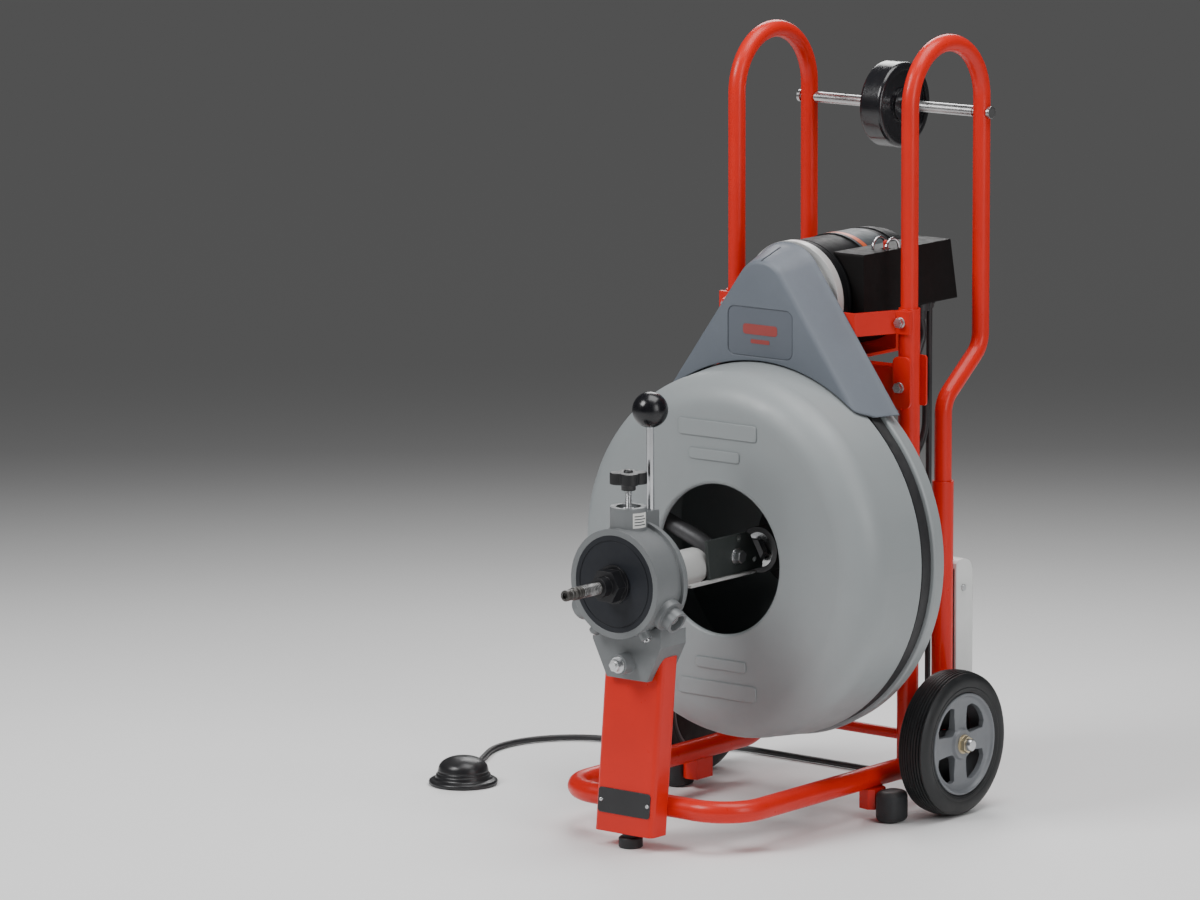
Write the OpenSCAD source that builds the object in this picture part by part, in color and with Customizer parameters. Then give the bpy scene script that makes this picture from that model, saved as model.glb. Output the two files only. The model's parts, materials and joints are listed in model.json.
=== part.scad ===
// Drum-type drain cleaning machine on a two-wheeled upright frame.
// Millimetres, +Z up. The origin is the centre of the front foot's face on the floor,
// -Y is the way the cable leaves, and X is across the machine.

/* [Frame] */
// Distance between the centre planes of the left and right uprights
track = 316; // [312:2:320]
// Distance from the front foot to the front uprights
upright_y = 453; // [450:1:458]
// Overall height of the handles
height = 1131; // [1100:1:1160]
// Diameter of the lower frame tube
frame_tube_d = 31.75; // [31:0.25:32]
// Diameter of the handle tube
handle_tube_d = 25.4; // [25:0.1:25.8]
// Height of the base tube's centre line above the floor
base_z = 60; // [58:1:62]

/* [Drum] */
// Height of the drum's axis above the floor
drum_z = 388; // [386:1:390]
// Radius of the drum just in front of the belt
drum_r = 277; // [275:1:278]
// Radius of the opening in the drum's front face
opening_r = 114; // [108:1:118]

/* [Wheels] */
// Radius of the transport wheels
wheel_r = 107; // [105:1:108]
// Width of the transport tyres
tyre_w = 50; // [46:1:50]
// Distance from the middle of the machine to the middle of a wheel
wheel_x = 238; // [237:1:242]

/* [Cable] */
// Diameter of the drain cable
cable_d = 16; // [15:0.5:16]

/* [Hidden] */
$fn = 64;
half_track = track / 2;
frame_r = frame_tube_d / 2;
frame_bore_r = 13.1;
handle_r = handle_tube_d / 2;
handle_bore_r = 10.6;
cable_r = cable_d / 2;
fit = 0.05;

// Uprights and handles
rear_y = upright_y + 85;
handle_rear_y = upright_y + 177;
front_sleeve_top = 740;
rear_sleeve_top = 474;
arch_r = (handle_rear_y - upright_y) / 2;
arch_z = height - handle_r - arch_r;
kink_low_z = 592;
kink_high_z = 664;
kink_angle = atan2(handle_rear_y - rear_y, kink_high_z - kink_low_z);
kink_length = norm([handle_rear_y - rear_y, kink_high_z - kink_low_z]);
kink_bend_r = 40;
kink_run_out = kink_bend_r * tan(kink_angle / 2);
kink_end = 20;
kink_lap = 3;
kink_straight = kink_end + kink_lap - kink_run_out;
rod_z = 1009;
corner_bend_r = 66;
rise_bend_r = 70;
base_front_y = 34;

// Front post
post_lean = 5.8;
post_w = 106;
post_d = 38.1;
post_wall = 3;
post_bottom = 22;
post_top = 290;
post_mid_y = 0.3;

// Wheels
axle_y = upright_y;
axle_r = 8;
rim_r = 75;

// Drum, given as distances along Y
drum_front = 203;
drum_wall = 4;
corner_r = 54;
shoulder_r = 216;
side_r = shoulder_r + corner_r;
groove_front = 326;
groove_rear = 350;
groove_r = 265.4;
flange_r = 281;
flange_rear = 376;
drum_back = 402;
seam_y = (groove_front + groove_rear) / 2;
hub_front = 300;
hub_rear = 412;
hub_r = 34;
hub_bore_r = 26;
spindle_r = 12;
plate_y = 433;
plate_t = 6;

// Motor and belt drive
motor_z = 748;
motor_r = 83;
motor_front = 372;
shell_front = 392;
shell_rear = 562;
motor_rear = 593;
belt_t = 9;
belt_w = 20;
belt_inner_r = 266;
pulley_r = 27;
pulley_belt_r = 27.4;
belt_front = seam_y - belt_w / 2;

// Belt guard: a rounded triangle that narrows towards its front face
guard_front = 303;
guard_rear = 370;
guard_z = 766;
guard_rear_r = 67;
guard_front_r = 46;
guard_side = 35.8;
guard_low = 598;
ear_front = plate_y - 4.05;
guard_wall = 2.5;
guard_clear_r = 284;

// Autofeed head, on the drum's axis
head_front = -36;
head_rear = 23;
head_r = 79;
head_bore_r = 70;
head_flange_r = 85;
boss_y = -3;
boss_r = 26.5;
boss_bore_r = 18;
boss_top = 108;
sleeve_r = 24;
sleeve_in = 38;
carrier_r = 17.95;
roller_r = 12;
roller_at = cable_r + 0.3 + roller_r;
roller_w = 22;
pin_r = 3;
crank_at = 60;
crank_reach = 34.3;
spigot_r = 36;
spigot_bore_r = 20;
barrel_r = 26;
spigot_rear = 36;
ring_front = 24.5;
ring_rear = 31.5;
ring_r = 80;
lever_y = 47;
ball_z = 628;
ball_r = 25;
knob_z = 528;

// Foot pedal
pedal_x = -455;
pedal_y = 170;
dome_r = 39;
hose_r = 4.5;
hose_y = 604;
hose_z = 5.3;

// ---------- helpers ----------

// A plate whose outline is drawn in X and Z, from y0 to y0 + t
module plate_xz(y0, t) {
  translate([0, y0 + t, 0]) rotate([90, 0, 0]) linear_extrude(t) children();
}

// A plate whose outline is drawn in Y and Z, from x0 to x0 + t
module plate_yz(x0, t) {
  translate([x0, 0, 0]) rotate([90, 0, 90]) linear_extrude(t) children();
}

// A turned part on a line along Y: the profile is drawn as radius and y
module turned_y(x, z) {
  translate([x, 0, z]) rotate([-90, 0, 0]) rotate_extrude() children();
}

// A turned part on a line along X: the profile is drawn as radius and x
module turned_x(y, z) {
  translate([0, y, z]) rotate([0, 90, 0]) rotate_extrude() children();
}

module rod_x(x0, x1, y, z, r) {
  translate([x0, y, z]) rotate([0, 90, 0]) cylinder(h = x1 - x0, r = r);
}

module rod_y(y0, y1, x, z, r) {
  translate([x, y0, z]) rotate([-90, 0, 0]) cylinder(h = y1 - y0, r = r);
}

module rod_z(z0, z1, x, y, r) {
  translate([x, y, z0]) cylinder(h = z1 - z0, r = r);
}

// A hexagon across flats, centred on the origin
module hexagon(flats) {
  circle(r = flats / sqrt(3), $fn = 6);
}

// A rectangle with round corners
module round_box(w, h, r) {
  square([w - 2 * r, h], center = true);
  square([w, h - 2 * r], center = true);
  for (sx = [-1, 1], sy = [-1, 1])
    translate([sx * (w / 2 - r), sy * (h / 2 - r)]) circle(r = r);
}

// A tube wall seen end on
module tube_wall(outer, inner) {
  difference() {
    circle(r = outer);
    circle(r = inner);
  }
}

// A quarter bend in the YZ plane about (cy, cz), from angle a0 through a
module bend_yz(x, cy, cz, r, a0, a, outer, inner) {
  translate([x, 0, 0]) rotate([90, 0, 90]) translate([cy, cz, 0]) rotate([0, 0, a0])
    rotate_extrude(angle = a) translate([r, 0]) tube_wall(outer, inner);
}

// Turns a feature on the top boss to the boss at angle a about the drum's axis
module round_head(a) {
  translate([0, 0, drum_z]) rotate([0, a, 0]) children();
}

// Points and headings along a path that starts along +X in the XY plane. Each move is a
// straight length, a turn to the left and a bend radius.
max_step = 10;
function path(moves, x = 0, y = 0, h = 0, i = 0) = i == len(moves) ? [] :
  let (turn = moves[i][1], r = sign(turn) * moves[i][2], n = ceil(abs(turn) / max_step),
       x1 = x + moves[i][0] * cos(h), y1 = y + moves[i][0] * sin(h),
       cx = x1 - r * sin(h), cy = y1 + r * cos(h), end = h + turn)
  concat(moves[i][0] > 0 ? [[x1, y1, h]] : [],
         [for (k = [1 : 1 : n]) let (g = h + turn * k / n) [cx + r * sin(g), cy - r * cos(g), g]],
         path(moves, cx + r * sin(end), cy - r * cos(end), end, i + 1));
function laid(moves) = concat([[0, 0, 0]], path(moves));

// The same path as stations, each with its point, its side and its up direction
function level(p) = [[p[0], p[1], 0], [-sin(p[2]), cos(p[2]), 0], [0, 0, 1]];
function around(s, r, n) = [
  for (k = [0 : n - 1]) let (a = 360 * k / n) s[0] + r * cos(a) * s[1] + r * sin(a) * s[2]
];

// A round bar through a list of stations
module swept(stations, r, n = 20) {
  last = (len(stations) - 1) * n;
  polyhedron(
    points = [for (s = stations) each around(s, r, n)],
    faces = concat(
      [[for (k = [0 : n - 1]) k], [for (k = [n - 1 : -1 : 0]) last + k]],
      [for (i = [0 : len(stations) - 2], k = [0 : n - 1])
        [i * n + k, i * n + n + k, i * n + n + (k + 1) % n, i * n + (k + 1) % n]]
    )
  );
}

// A bent tube, with a little more length on its bore so that both ends are open
module bent_tube(moves, outer, inner, n = 32) {
  m = len(moves) - 1;
  longer = [for (i = [0 : m]) moves[i] + [(i == 0 ? 1 : 0) + (i == m ? 1 : 0), 0, 0]];
  difference() {
    swept([for (p = laid(moves)) level(p)], outer, n);
    translate([-1, 0, 0]) swept([for (p = laid(longer)) level(p)], inner, n);
  }
}

// A hex bolt head on a washer, at the origin and standing up +Z
module bolt_head(flats, tall, washer_r) {
  cylinder(h = 1.6, r = washer_r);
  translate([0, 0, 1.6]) linear_extrude(tall) hexagon(flats);
}

// ---------- frame ----------

module base_corner(s) {
  translate([s * (half_track - corner_bend_r), base_front_y + corner_bend_r, base_z])
    rotate([0, 0, s > 0 ? -90 : 180])
      rotate_extrude(angle = 90) translate([corner_bend_r, 0]) tube_wall(frame_r, frame_bore_r);
}

module base_side(s) {
  translate([s * half_track, base_front_y + corner_bend_r, base_z]) rotate([-90, 0, 0])
    linear_extrude(rear_y - rise_bend_r - base_front_y - corner_bend_r)
      tube_wall(frame_r, frame_bore_r);
  bend_yz(s * half_track, rear_y - rise_bend_r, base_z + rise_bend_r, rise_bend_r, -90, 90,
          frame_r, frame_bore_r);
  translate([s * half_track, rear_y, base_z + rise_bend_r])
    linear_extrude(rear_sleeve_top - base_z - rise_bend_r) tube_wall(frame_r, frame_bore_r);
}

module base_tube() {
  color([0.80, 0.16, 0.08]) {
    translate([corner_bend_r - half_track, base_front_y, base_z]) rotate([0, 90, 0])
      linear_extrude(track - 2 * corner_bend_r) tube_wall(frame_r, frame_bore_r);
    for (s = [-1, 1]) {
      base_corner(s);
      base_side(s);
    }
  }
}

module uprights() {
  color([0.80, 0.16, 0.08]) for (s = [-1, 1]) difference() {
    rod_z(base_z, front_sleeve_top, s * half_track, upright_y, frame_r);
    rod_z(base_z - 1, front_sleeve_top + 1, s * half_track, upright_y, frame_bore_r);
    rod_y(upright_y - 40, upright_y + 40, s * half_track, base_z, frame_r + fit);
    rod_x(s * half_track - 20, s * half_track + 20, axle_y, wheel_r, axle_r + fit);
  }
}

module handle(s) {
  x = s * half_track;
  color([0.80, 0.16, 0.08]) {
    translate([x, upright_y, front_sleeve_top - 60])
      linear_extrude(arch_z - front_sleeve_top + 60) tube_wall(handle_r, handle_bore_r);
    bend_yz(x, upright_y + arch_r, arch_z, arch_r, 0, 180, handle_r, handle_bore_r);
    difference() {
      translate([x, handle_rear_y, kink_high_z + kink_end])
        linear_extrude(arch_z - kink_high_z - kink_end) tube_wall(handle_r, handle_bore_r);
      rod_x(x - 20, x + 20, handle_rear_y, rod_z, 6 + fit);
    }
    translate([x, rear_y, kink_low_z - kink_end - kink_lap]) rotate([0, -90, 0])
      bent_tube([[kink_straight, kink_angle, kink_bend_r],
                 [kink_length - 2 * kink_run_out, -kink_angle, kink_bend_r],
                 [kink_straight, 0, 0]], handle_r - fit, handle_bore_r + 2 * fit);
    translate([x, rear_y, rear_sleeve_top - 60])
      linear_extrude(kink_low_z - kink_end - rear_sleeve_top + 60)
        tube_wall(handle_r, handle_bore_r);
  }
}

module left_handle() {
  handle(-1);
}

module right_handle() {
  handle(1);
}

// Both crossmembers are channels let in between the uprights
module channel(z0, z1) {
  difference() {
    union() {
      translate([-half_track, plate_y, z0]) cube([track, plate_t, z1 - z0]);
      for (z = [z0, z1 - 5]) translate([-half_track, plate_y, z]) cube([track, 26, 5]);
    }
    for (s = [-1, 1]) rod_z(z0 - 1, z1 + 1, s * half_track, upright_y, frame_r + fit);
    for (s = [-1, 1]) translate([s * (half_track + 8) - 8, plate_y - 1, z0 - 1])
      cube([16, 40, z1 - z0 + 2]);
  }
}

module crossmembers() {
  color([0.76, 0.15, 0.08]) {
    difference() {
      channel(drum_z - 45, drum_z + 45);
      rod_y(plate_y - 1, plate_y + plate_t + 1, 0, drum_z, spindle_r + fit);
    }
    difference() {
      channel(592, 655);
      for (s = [-1, 1]) plate_xz(plate_y - 1, plate_t + 2)
        translate([s * 92, 624]) round_box(46, 12, 5.9);
    }
  }
}

// Straps from the uprights to the back of the belt guard, and plates that clamp the uprights
module guard_straps() {
  color([0.74, 0.15, 0.08]) for (s = [-1, 1]) scale([s, 1, 1]) {
    difference() {
      translate([0, 0, 704]) linear_extrude(34) {
        polygon([[88, guard_rear + fit], [118, guard_rear + fit], [121, guard_rear + 4],
                 [88, guard_rear + 4]]);
        polygon([[116, guard_rear + fit], [121, guard_rear + fit], [149, plate_y - 2],
                 [144, plate_y]]);
        polygon([[146, plate_y - 2], [174, plate_y - 2], [174, 439], [148, 439]]);
      }
      rod_z(700, 742, half_track, upright_y, frame_r + fit);
    }
    plate_xz(ear_front, 4) translate([161.5, 633.5]) round_box(31, 75, 9);
    plate_xz(upright_y + frame_r + fit, 4) translate([159, 633]) round_box(35, 74, 4);
  }
}

// The cradle is a shelf on the upper crossmember with two saddles under the motor
module motor_cradle() {
  color([0.76, 0.15, 0.08]) difference() {
    union() {
      translate([-62, plate_y - 20, 655]) cube([124, 146, 5]);
      for (y = [plate_y - 20, plate_y + 118]) translate([-62, y, 655]) cube([124, 8, 48]);
    }
    rod_y(plate_y - 30, plate_y + 160, 0, motor_z, motor_r + fit);
  }
}

module frame_bolts() {
  color([0.78, 0.79, 0.80]) {
    // strap and clamp bolts on the front of the uprights
    for (s = [-1, 1], z = [626, 721])
      translate([s * 158.5, z > 700 ? plate_y - 2 : ear_front, z])
        rotate([90, 0, 0]) bolt_head(13, 6, 8);
    // guard bolts, behind the strap's flange
    for (s = [-1, 1]) translate([s * 96, guard_rear + 4, 714]) rotate([-90, 0, 0])
      bolt_head(10, 5, 7);
    // head bolt through the front of the autofeed bracket
    translate([0, -28, 270]) rotate([90, 0, 0]) bolt_head(16, 8, 12);
    rod_y(-40, -36, 0, 270, 5);
    // skid screws
    for (s = [-1, 1], z = [138, 311]) {
      rod_x(s * half_track + (s > 0 ? 14 : -17), s * half_track + (s > 0 ? 17 : -14), 570, z, 5);
    }
    // badge rivets
    translate([0, post_mid_y, post_bottom]) rotate([-post_lean, 0, 0]) for (s = [-1, 1])
      translate([s * 42, -post_d / 2 - fit - 1.2, 43]) rotate([90, 0, 0])
        cylinder(h = 1.6, r1 = 3.2, r2 = 2);
    // motor through bolts
    for (a = [45, 135, 225, 315]) translate([0, 0, motor_z]) rotate([0, a, 0])
      translate([76, motor_rear, 0]) rotate([-90, 0, 0]) linear_extrude(4) hexagon(8);
  }
}

// ---------- running gear ----------

module wheel_axle() {
  color([0.74, 0.15, 0.08])
    rod_x(-(wheel_x + 34), wheel_x + 34, axle_y, wheel_r, axle_r);
}

module axle_retainers() {
  color([0.78, 0.72, 0.52]) for (s = [-1, 1]) scale([s, 1, 1]) {
    turned_x(axle_y, wheel_r) translate([axle_r + fit, wheel_x - 27.5]) square([7, 7]);
    turned_x(axle_y, wheel_r) translate([axle_r + fit, wheel_x + 20.6]) square([6, 2]);
    difference() {
      translate([wheel_x + 22.7, axle_y, wheel_r]) rotate([0, 90, 0])
        linear_extrude(8) hexagon(22);
      rod_x(wheel_x + 20, wheel_x + 33, axle_y, wheel_r, axle_r + fit);
    }
  }
}

module petal() {
  difference() {
    translate([43, 0]) circle(r = 17.5);
    circle(r = 30);
  }
}

module wheel_hub(s) {
  color([0.62, 0.63, 0.65]) translate([s * wheel_x, 0, 0]) scale([s, 1, 1]) {
    turned_x(axle_y, wheel_r) difference() {
      union() {
        translate([axle_r + fit, -20]) square([15, 40]);
        translate([64, -21]) square([rim_r - 64 - 0.02, 42]);
        translate([20, 6]) square([48, 6]);
        translate([67, 17]) square([5, 7]);
      }
      translate([20, -30]) square([3, 15]);
    }
    intersection() {
      turned_x(axle_y, wheel_r) translate([20, -12]) square([46, 19]);
      for (a = [0, 90]) translate([0, axle_y, wheel_r]) rotate([a, 0, 0])
        translate([-12, -70, -2.5]) cube([19, 140, 5]);
    }
  }
}

module wheel_cut(s) {
  difference() {
    wheel_hub(s);
    color([0.62, 0.63, 0.65]) for (a = [45 : 90 : 315])
      translate([s * wheel_x, axle_y, wheel_r]) rotate([a, 0, 0]) rotate([90, 0, 90])
        translate([0, 0, -25]) linear_extrude(50) petal();
  }
}

module tyre(s) {
  color([0.07, 0.07, 0.08]) translate([s * wheel_x, 0, 0]) turned_x(axle_y, wheel_r)
    difference() {
      union() {
        translate([rim_r, 6 - tyre_w / 2]) square([20, tyre_w - 12]);
        translate([rim_r + 12, 0]) round_box(40, tyre_w, 14);
      }
      translate([0, -40]) square([rim_r, 80]);
      for (i = [-2 : 2]) translate([wheel_r - 2, i * 7 - 1.2]) square([6, 2.4]);
      translate([wheel_r, -40]) square([20, 80]);
    }
}

module left_hub() {
  wheel_cut(-1);
}

module right_hub() {
  wheel_cut(1);
}

module left_tyre() {
  tyre(-1);
}

module right_tyre() {
  tyre(1);
}

// Runners that let the machine slide up and down stairs
module skid_outline(inset) {
  translate([571, 224.5]) round_box(48 - 2 * inset, 259 - 2 * inset, 22 - inset);
}

module stair_skids() {
  color([0.90, 0.90, 0.88]) for (s = [-1, 1]) difference() {
    plate_yz(s * half_track - 14, 28) skid_outline(0);
    plate_yz(s * half_track - 10, 20) skid_outline(5);
    translate([s * half_track - 15, 540, 90]) cube([30, 14, 270]);
    rod_z(80, 370, s * half_track, rear_y, frame_r + fit);
  }
}

// ---------- front post ----------

module post_tube(w, d, r, z0, z1) {
  intersection() {
    translate([0, post_mid_y, post_bottom]) rotate([-post_lean, 0, 0]) translate([0, 0, -20])
      linear_extrude(360) round_box(w, d, r);
    translate([-100, -100, z0]) cube([200, 300, z1 - z0]);
  }
}

module front_post() {
  color([0.78, 0.16, 0.09]) difference() {
    post_tube(post_w, post_d, 8, post_bottom, post_top);
    post_tube(post_w - 2 * post_wall, post_d - 2 * post_wall, 5, post_bottom + 5, post_top + 1);
    rod_x(-80, 80, base_front_y, base_z, frame_r + fit);
    rod_z(post_bottom - 1, post_bottom + 6, 0, 0, 5 + fit);
  }
}

module rubber_feet() {
  color([0.06, 0.06, 0.07]) {
    rod_z(0, post_bottom - 7, 0, 0, 17.5);
    rod_z(post_bottom - 7, post_bottom, 0, 0, 12);
    rod_z(post_bottom, post_bottom + 10, 0, 0, 5);
    for (s = [-1, 1]) translate([s * 197, 362, 0]) {
      linear_extrude(40) round_box(39.8, 48, 17);
      translate([0, 0, 40]) linear_extrude(6) round_box(31, 39, 14);
    }
  }
}

// Bent straps from the base tube out to the rear feet
module foot_brackets() {
  color([0.76, 0.15, 0.08]) for (s = [-1, 1]) scale([s, 1, 1]) difference() {
    union() {
      translate([0, 0, 16]) linear_extrude(30)
        polygon([[150, 384], [150, 346], [168, 342], [176.9, 348], [176.9, 374], [162, 384]]);
      rod_x(170, 176.9, 362, 31, 12);
    }
    rod_y(300, 400, half_track, base_z, frame_r + fit);
  }
}

module post_badge() {
  color([0.08, 0.08, 0.09]) translate([0, post_mid_y, post_bottom]) rotate([-post_lean, 0, 0])
    translate([0, -post_d / 2 - fit, 43]) rotate([90, 0, 0]) linear_extrude(1.2)
      round_box(94, 36, 5);
}

// ---------- autofeed head ----------

module autofeed_bracket() {
  color([0.60, 0.61, 0.63]) difference() {
    union() {
      plate_xz(-8, 57) polygon([[-36.5, 246], [36.5, 246], [62, 298], [62, 326], [-62, 326],
                                [-62, 298]]);
      rod_y(-28, -6, 0, 270, 15);
    }
    post_tube(post_w + 2 * fit, post_d + 2 * fit, 8, 200, post_top + fit);
    for (a = [120, 240]) round_head(a) translate([0, boss_y, 0])
      cylinder(h = 130, r = sleeve_r + fit);
    rod_y(-9, 60, 0, drum_z, head_r + fit);
    rod_y(head_rear - 7 - fit, 60, 0, drum_z, head_flange_r + fit);
    rod_y(head_rear, 60, 0, drum_z, 92);
  }
}

module boss_slot(a) {
  round_head(a) translate([-13, 12, 55.5]) cube([26, 14, 16]);
}

module autofeed_housing() {
  color([0.62, 0.63, 0.65]) difference() {
    union() {
      difference() {
        union() {
          rod_y(head_front, head_rear, 0, drum_z, head_r);
          rod_y(head_rear - 7, head_rear, 0, drum_z, head_flange_r);
          rod_y(head_rear - 1, spigot_rear, 0, drum_z, spigot_r);
        }
        rod_y(head_front - 1, head_rear - 7, 0, drum_z, head_bore_r);
      }
      round_head(0) translate([0, boss_y, sleeve_in]) cylinder(h = 40, r = sleeve_r);
      round_head(0) translate([0, boss_y, 72]) cylinder(h = boss_top - 72, r = boss_r);
      for (a = [120, 240]) round_head(a) translate([0, boss_y, sleeve_in]) {
        cylinder(h = 86 - sleeve_in, r = sleeve_r);
        cylinder(h = 102 - sleeve_in, r = 17);
      }
      // feet for the small clamp screws beside each lower boss
      for (a = [148, 212]) round_head(a) translate([0, -22, 70])
        cylinder(h = 20, r = 8);
    }
    rod_y(head_front - 1, spigot_rear + 1, 0, drum_z, spigot_bore_r);
    round_head(0) translate([0, boss_y, 0]) cylinder(h = boss_top + 1, r = boss_bore_r);
    for (a = [120, 240]) round_head(a) translate([0, boss_y, 0]) {
      cylinder(h = 78, r = boss_bore_r);
      translate([0, 0, 90]) cylinder(h = 20, r = 13);
    }
    for (a = [0, 120, 240]) boss_slot(a);
  }
}

// Cap on the top boss, ring that holds the control ring on, and screws in the lower bosses
module head_retainers() {
  color([0.74, 0.75, 0.77]) {
    difference() {
      union() {
        rod_z(drum_z + 97.5, drum_z + 102, 0, boss_y, boss_bore_r - fit);
        rod_z(drum_z + 101, drum_z + 105, 0, boss_y, 8);
      }
      rod_z(drum_z + 96, drum_z + 107, 0, boss_y, 5 + fit);
    }
    difference() {
      rod_y(ring_rear + 0.1, spigot_rear - 1, 0, drum_z, 41);
      rod_y(ring_rear - 1, spigot_rear, 0, drum_z, spigot_r + fit);
    }
    for (a = [120, 240]) round_head(a) translate([0, boss_y, 90]) cylinder(h = 6, r = 7);
    for (a = [148, 212]) round_head(a) translate([0, -22, 90]) difference() {
      cylinder(h = 3, r = 5);
      translate([0, 0, 1]) linear_extrude(4) hexagon(5);
    }
  }
}

module face_plate() {
  color([0.07, 0.08, 0.10]) difference() {
    turned_y(0, drum_z) difference() {
      translate([0, head_front]) square([head_bore_r - fit, 6]);
      translate([61, head_front - 1]) square([2, 1.8]);
    }
    rod_y(head_front - 2, head_front + 7, 0, drum_z, 24 + fit);
  }
}

module nose_bushing() {
  color([0.10, 0.10, 0.11]) difference() {
    union() {
      turned_y(0, drum_z) {
        translate([0, -40]) square([28, 4 - fit]);
        translate([0, -36.1]) square([24, 10]);
        translate([0, -73]) square([14.5, 36]);
      }
      translate([0, -40, drum_z]) rotate([90, 0, 0]) linear_extrude(18) hexagon(44);
    }
    rod_y(-75, -20, 0, drum_z, cable_r + 1.2);
  }
}

// The roller carriers turn in the bosses; each has a crank pin that the control ring pushes
module carrier(a, top) {
  color([0.55, 0.56, 0.58]) round_head(a) difference() {
    union() {
      intersection() {
        translate([0, boss_y, 13]) cylinder(h = top - 13, r = carrier_r);
        translate([-30, -30, 13]) cube([60, 60, 90]);
      }
      rod_y(boss_y, boss_y + crank_reach, 0, crank_at, pin_r);
    }
    translate([-30, boss_y - roller_w / 2 - 0.4, 0]) cube([60, roller_w + 0.8, 34]);
    rod_y(-30, 20, 0, roller_at, pin_r + fit);
  }
}

module feed_roller(a) {
  color([0.78, 0.79, 0.80]) round_head(a) {
    rod_y(boss_y - roller_w / 2, boss_y + roller_w / 2, 0, roller_at, roller_r);
    rod_y(boss_y - 17, boss_y + 17, 0, roller_at, pin_r);
  }
}

module top_carrier() {
  carrier(0, 82);
}

module left_carrier() {
  carrier(240, 77);
}

module right_carrier() {
  carrier(120, 77);
}

module top_feed_roller() {
  feed_roller(0);
}

module left_feed_roller() {
  feed_roller(240);
}

module right_feed_roller() {
  feed_roller(120);
}

// The cup is pushed down the top boss by the star knob's screw
module press_cup() {
  color([0.70, 0.71, 0.73]) difference() {
    rod_z(drum_z + 82.2, drum_z + 91, 0, boss_y, carrier_r);
    rod_z(drum_z + 85, drum_z + 92, 0, boss_y, 5 + fit);
  }
}

module star_knob() {
  color([0.09, 0.09, 0.10]) translate([0, boss_y, 0]) {
    translate([0, 0, knob_z]) linear_extrude(17) difference() {
      circle(r = 27);
      for (a = [0 : 90 : 270]) rotate([0, 0, a]) translate([30, 0]) circle(r = 11.5);
    }
    rod_z(knob_z - 9, knob_z, 0, 0, 10.5);
    rod_z(knob_z + 17, knob_z + 21, 0, 0, 6);
    rod_z(drum_z + 85.2, knob_z, 0, 0, 5);
  }
}

module control_ring() {
  color([0.60, 0.61, 0.63]) difference() {
    union() {
      rod_y(ring_front, ring_rear, 0, drum_z, ring_r);
      translate([-9, ring_rear - 3, drum_z + 60]) cube([18, lever_y - ring_rear + 12, 36]);
    }
    rod_y(ring_front - 1, 80, 0, drum_z, spigot_r + fit);
    rod_y(ring_rear + 0.05, 80, 0, drum_z, 42);
    for (a = [0, 120, 240]) round_head(a) translate([-6, ring_front - 1, 55.5])
      cube([12, ring_rear - ring_front + 1, 16]);
    rod_z(drum_z + 72, drum_z + 110, 0, lever_y, 5.5 + fit);
  }
}

module feed_lever() {
  color([0.82, 0.83, 0.85]) {
    rod_z(drum_z + 72, ball_z, 0, lever_y, 5.5);
  }
}

module lever_knob() {
  color([0.05, 0.05, 0.05]) difference() {
    translate([0, lever_y, ball_z]) sphere(r = ball_r);
    rod_z(ball_z - 40, ball_z, 0, lever_y, 5.5 + fit);
  }
}

// ---------- cable and guide ----------

module guide_tube() {
  color([0.72, 0.72, 0.70]) {
    turned_y(0, drum_z) {
      translate([cable_r + 1.2, 16.5]) square([spigot_bore_r - fit - cable_r - 1.2, 29.5]);
      translate([cable_r + 1.2, 44]) square([barrel_r - cable_r - 1.2, 106]);
      translate([cable_r + 1.2, 149]) square([barrel_r - 8 - cable_r - 1.2, 9]);
      translate([barrel_r - 8, 150]) circle(r = 8);
      translate([cable_r + 1.2, 157]) square([13 - cable_r - 1.2, 11]);
    }
    translate([0, 166, drum_z]) rotate([0, 200, 0]) rotate([0, 0, 90])
      bent_tube([[2, -90, 60], [78, 0, 0]], 13 - fit, cable_r + 1.3);
  }
}

// Steel angle bolted along the side of the guide's barrel
module guide_plate() {
  color([0.16, 0.16, 0.17]) {
    difference() {
      plate_yz(barrel_r + fit, 5) polygon([[138, 428], [232, 428], [240, 424], [271, 374],
                                           [268, 369], [144, 369]]);
      rod_x(20, 40, 212, 421, 4.5);
      rod_x(20, 40, 250, 385, 4.5);
    }
    plate_yz(barrel_r + fit, 9) polygon([[96, 365], [246, 365], [250, 367], [250, 369.5],
                                         [96, 369.5]]);
    translate([barrel_r + fit + 5, 207, 396]) rotate([0, 90, 0]) bolt_head(17, 10, 12);
  }
}

module lead_cable() {
  color([0.55, 0.53, 0.50]) rod_y(-112, 158, 0, drum_z, cable_r);
}

module cable_coupling() {
  color([0.30, 0.29, 0.28]) turned_y(0, drum_z) {
    translate([0, -147]) square([cable_r, 28]);
    translate([0, -126]) square([cable_r + 0.8, 14 - fit]);
  }
}

module cable_coil() {
  color([0.50, 0.48, 0.46]) turned_y(0, drum_z) {
    for (i = [0 : 5]) translate([238, 226 + i * 17]) circle(r = cable_r);
    for (i = [0 : 4]) translate([222, 234.5 + i * 17]) circle(r = cable_r);
    for (i = [0 : 3]) translate([206, 243 + i * 17]) circle(r = cable_r);
  }
}

// ---------- drum ----------

module front_profile(w) {
  translate([0, drum_front + w]) square([shoulder_r, seam_y - drum_front - w]);
  translate([shoulder_r, drum_front + corner_r]) circle(r = corner_r - w);
  polygon([[shoulder_r - 20, drum_front + corner_r], [side_r - w, drum_front + corner_r],
           [drum_r - w, groove_front - w], [drum_r - w, groove_front - w * 0.9],
           [groove_r - w, groove_front + w * 0.2], [groove_r - w, seam_y],
           [shoulder_r - 20, seam_y]]);
}

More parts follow.
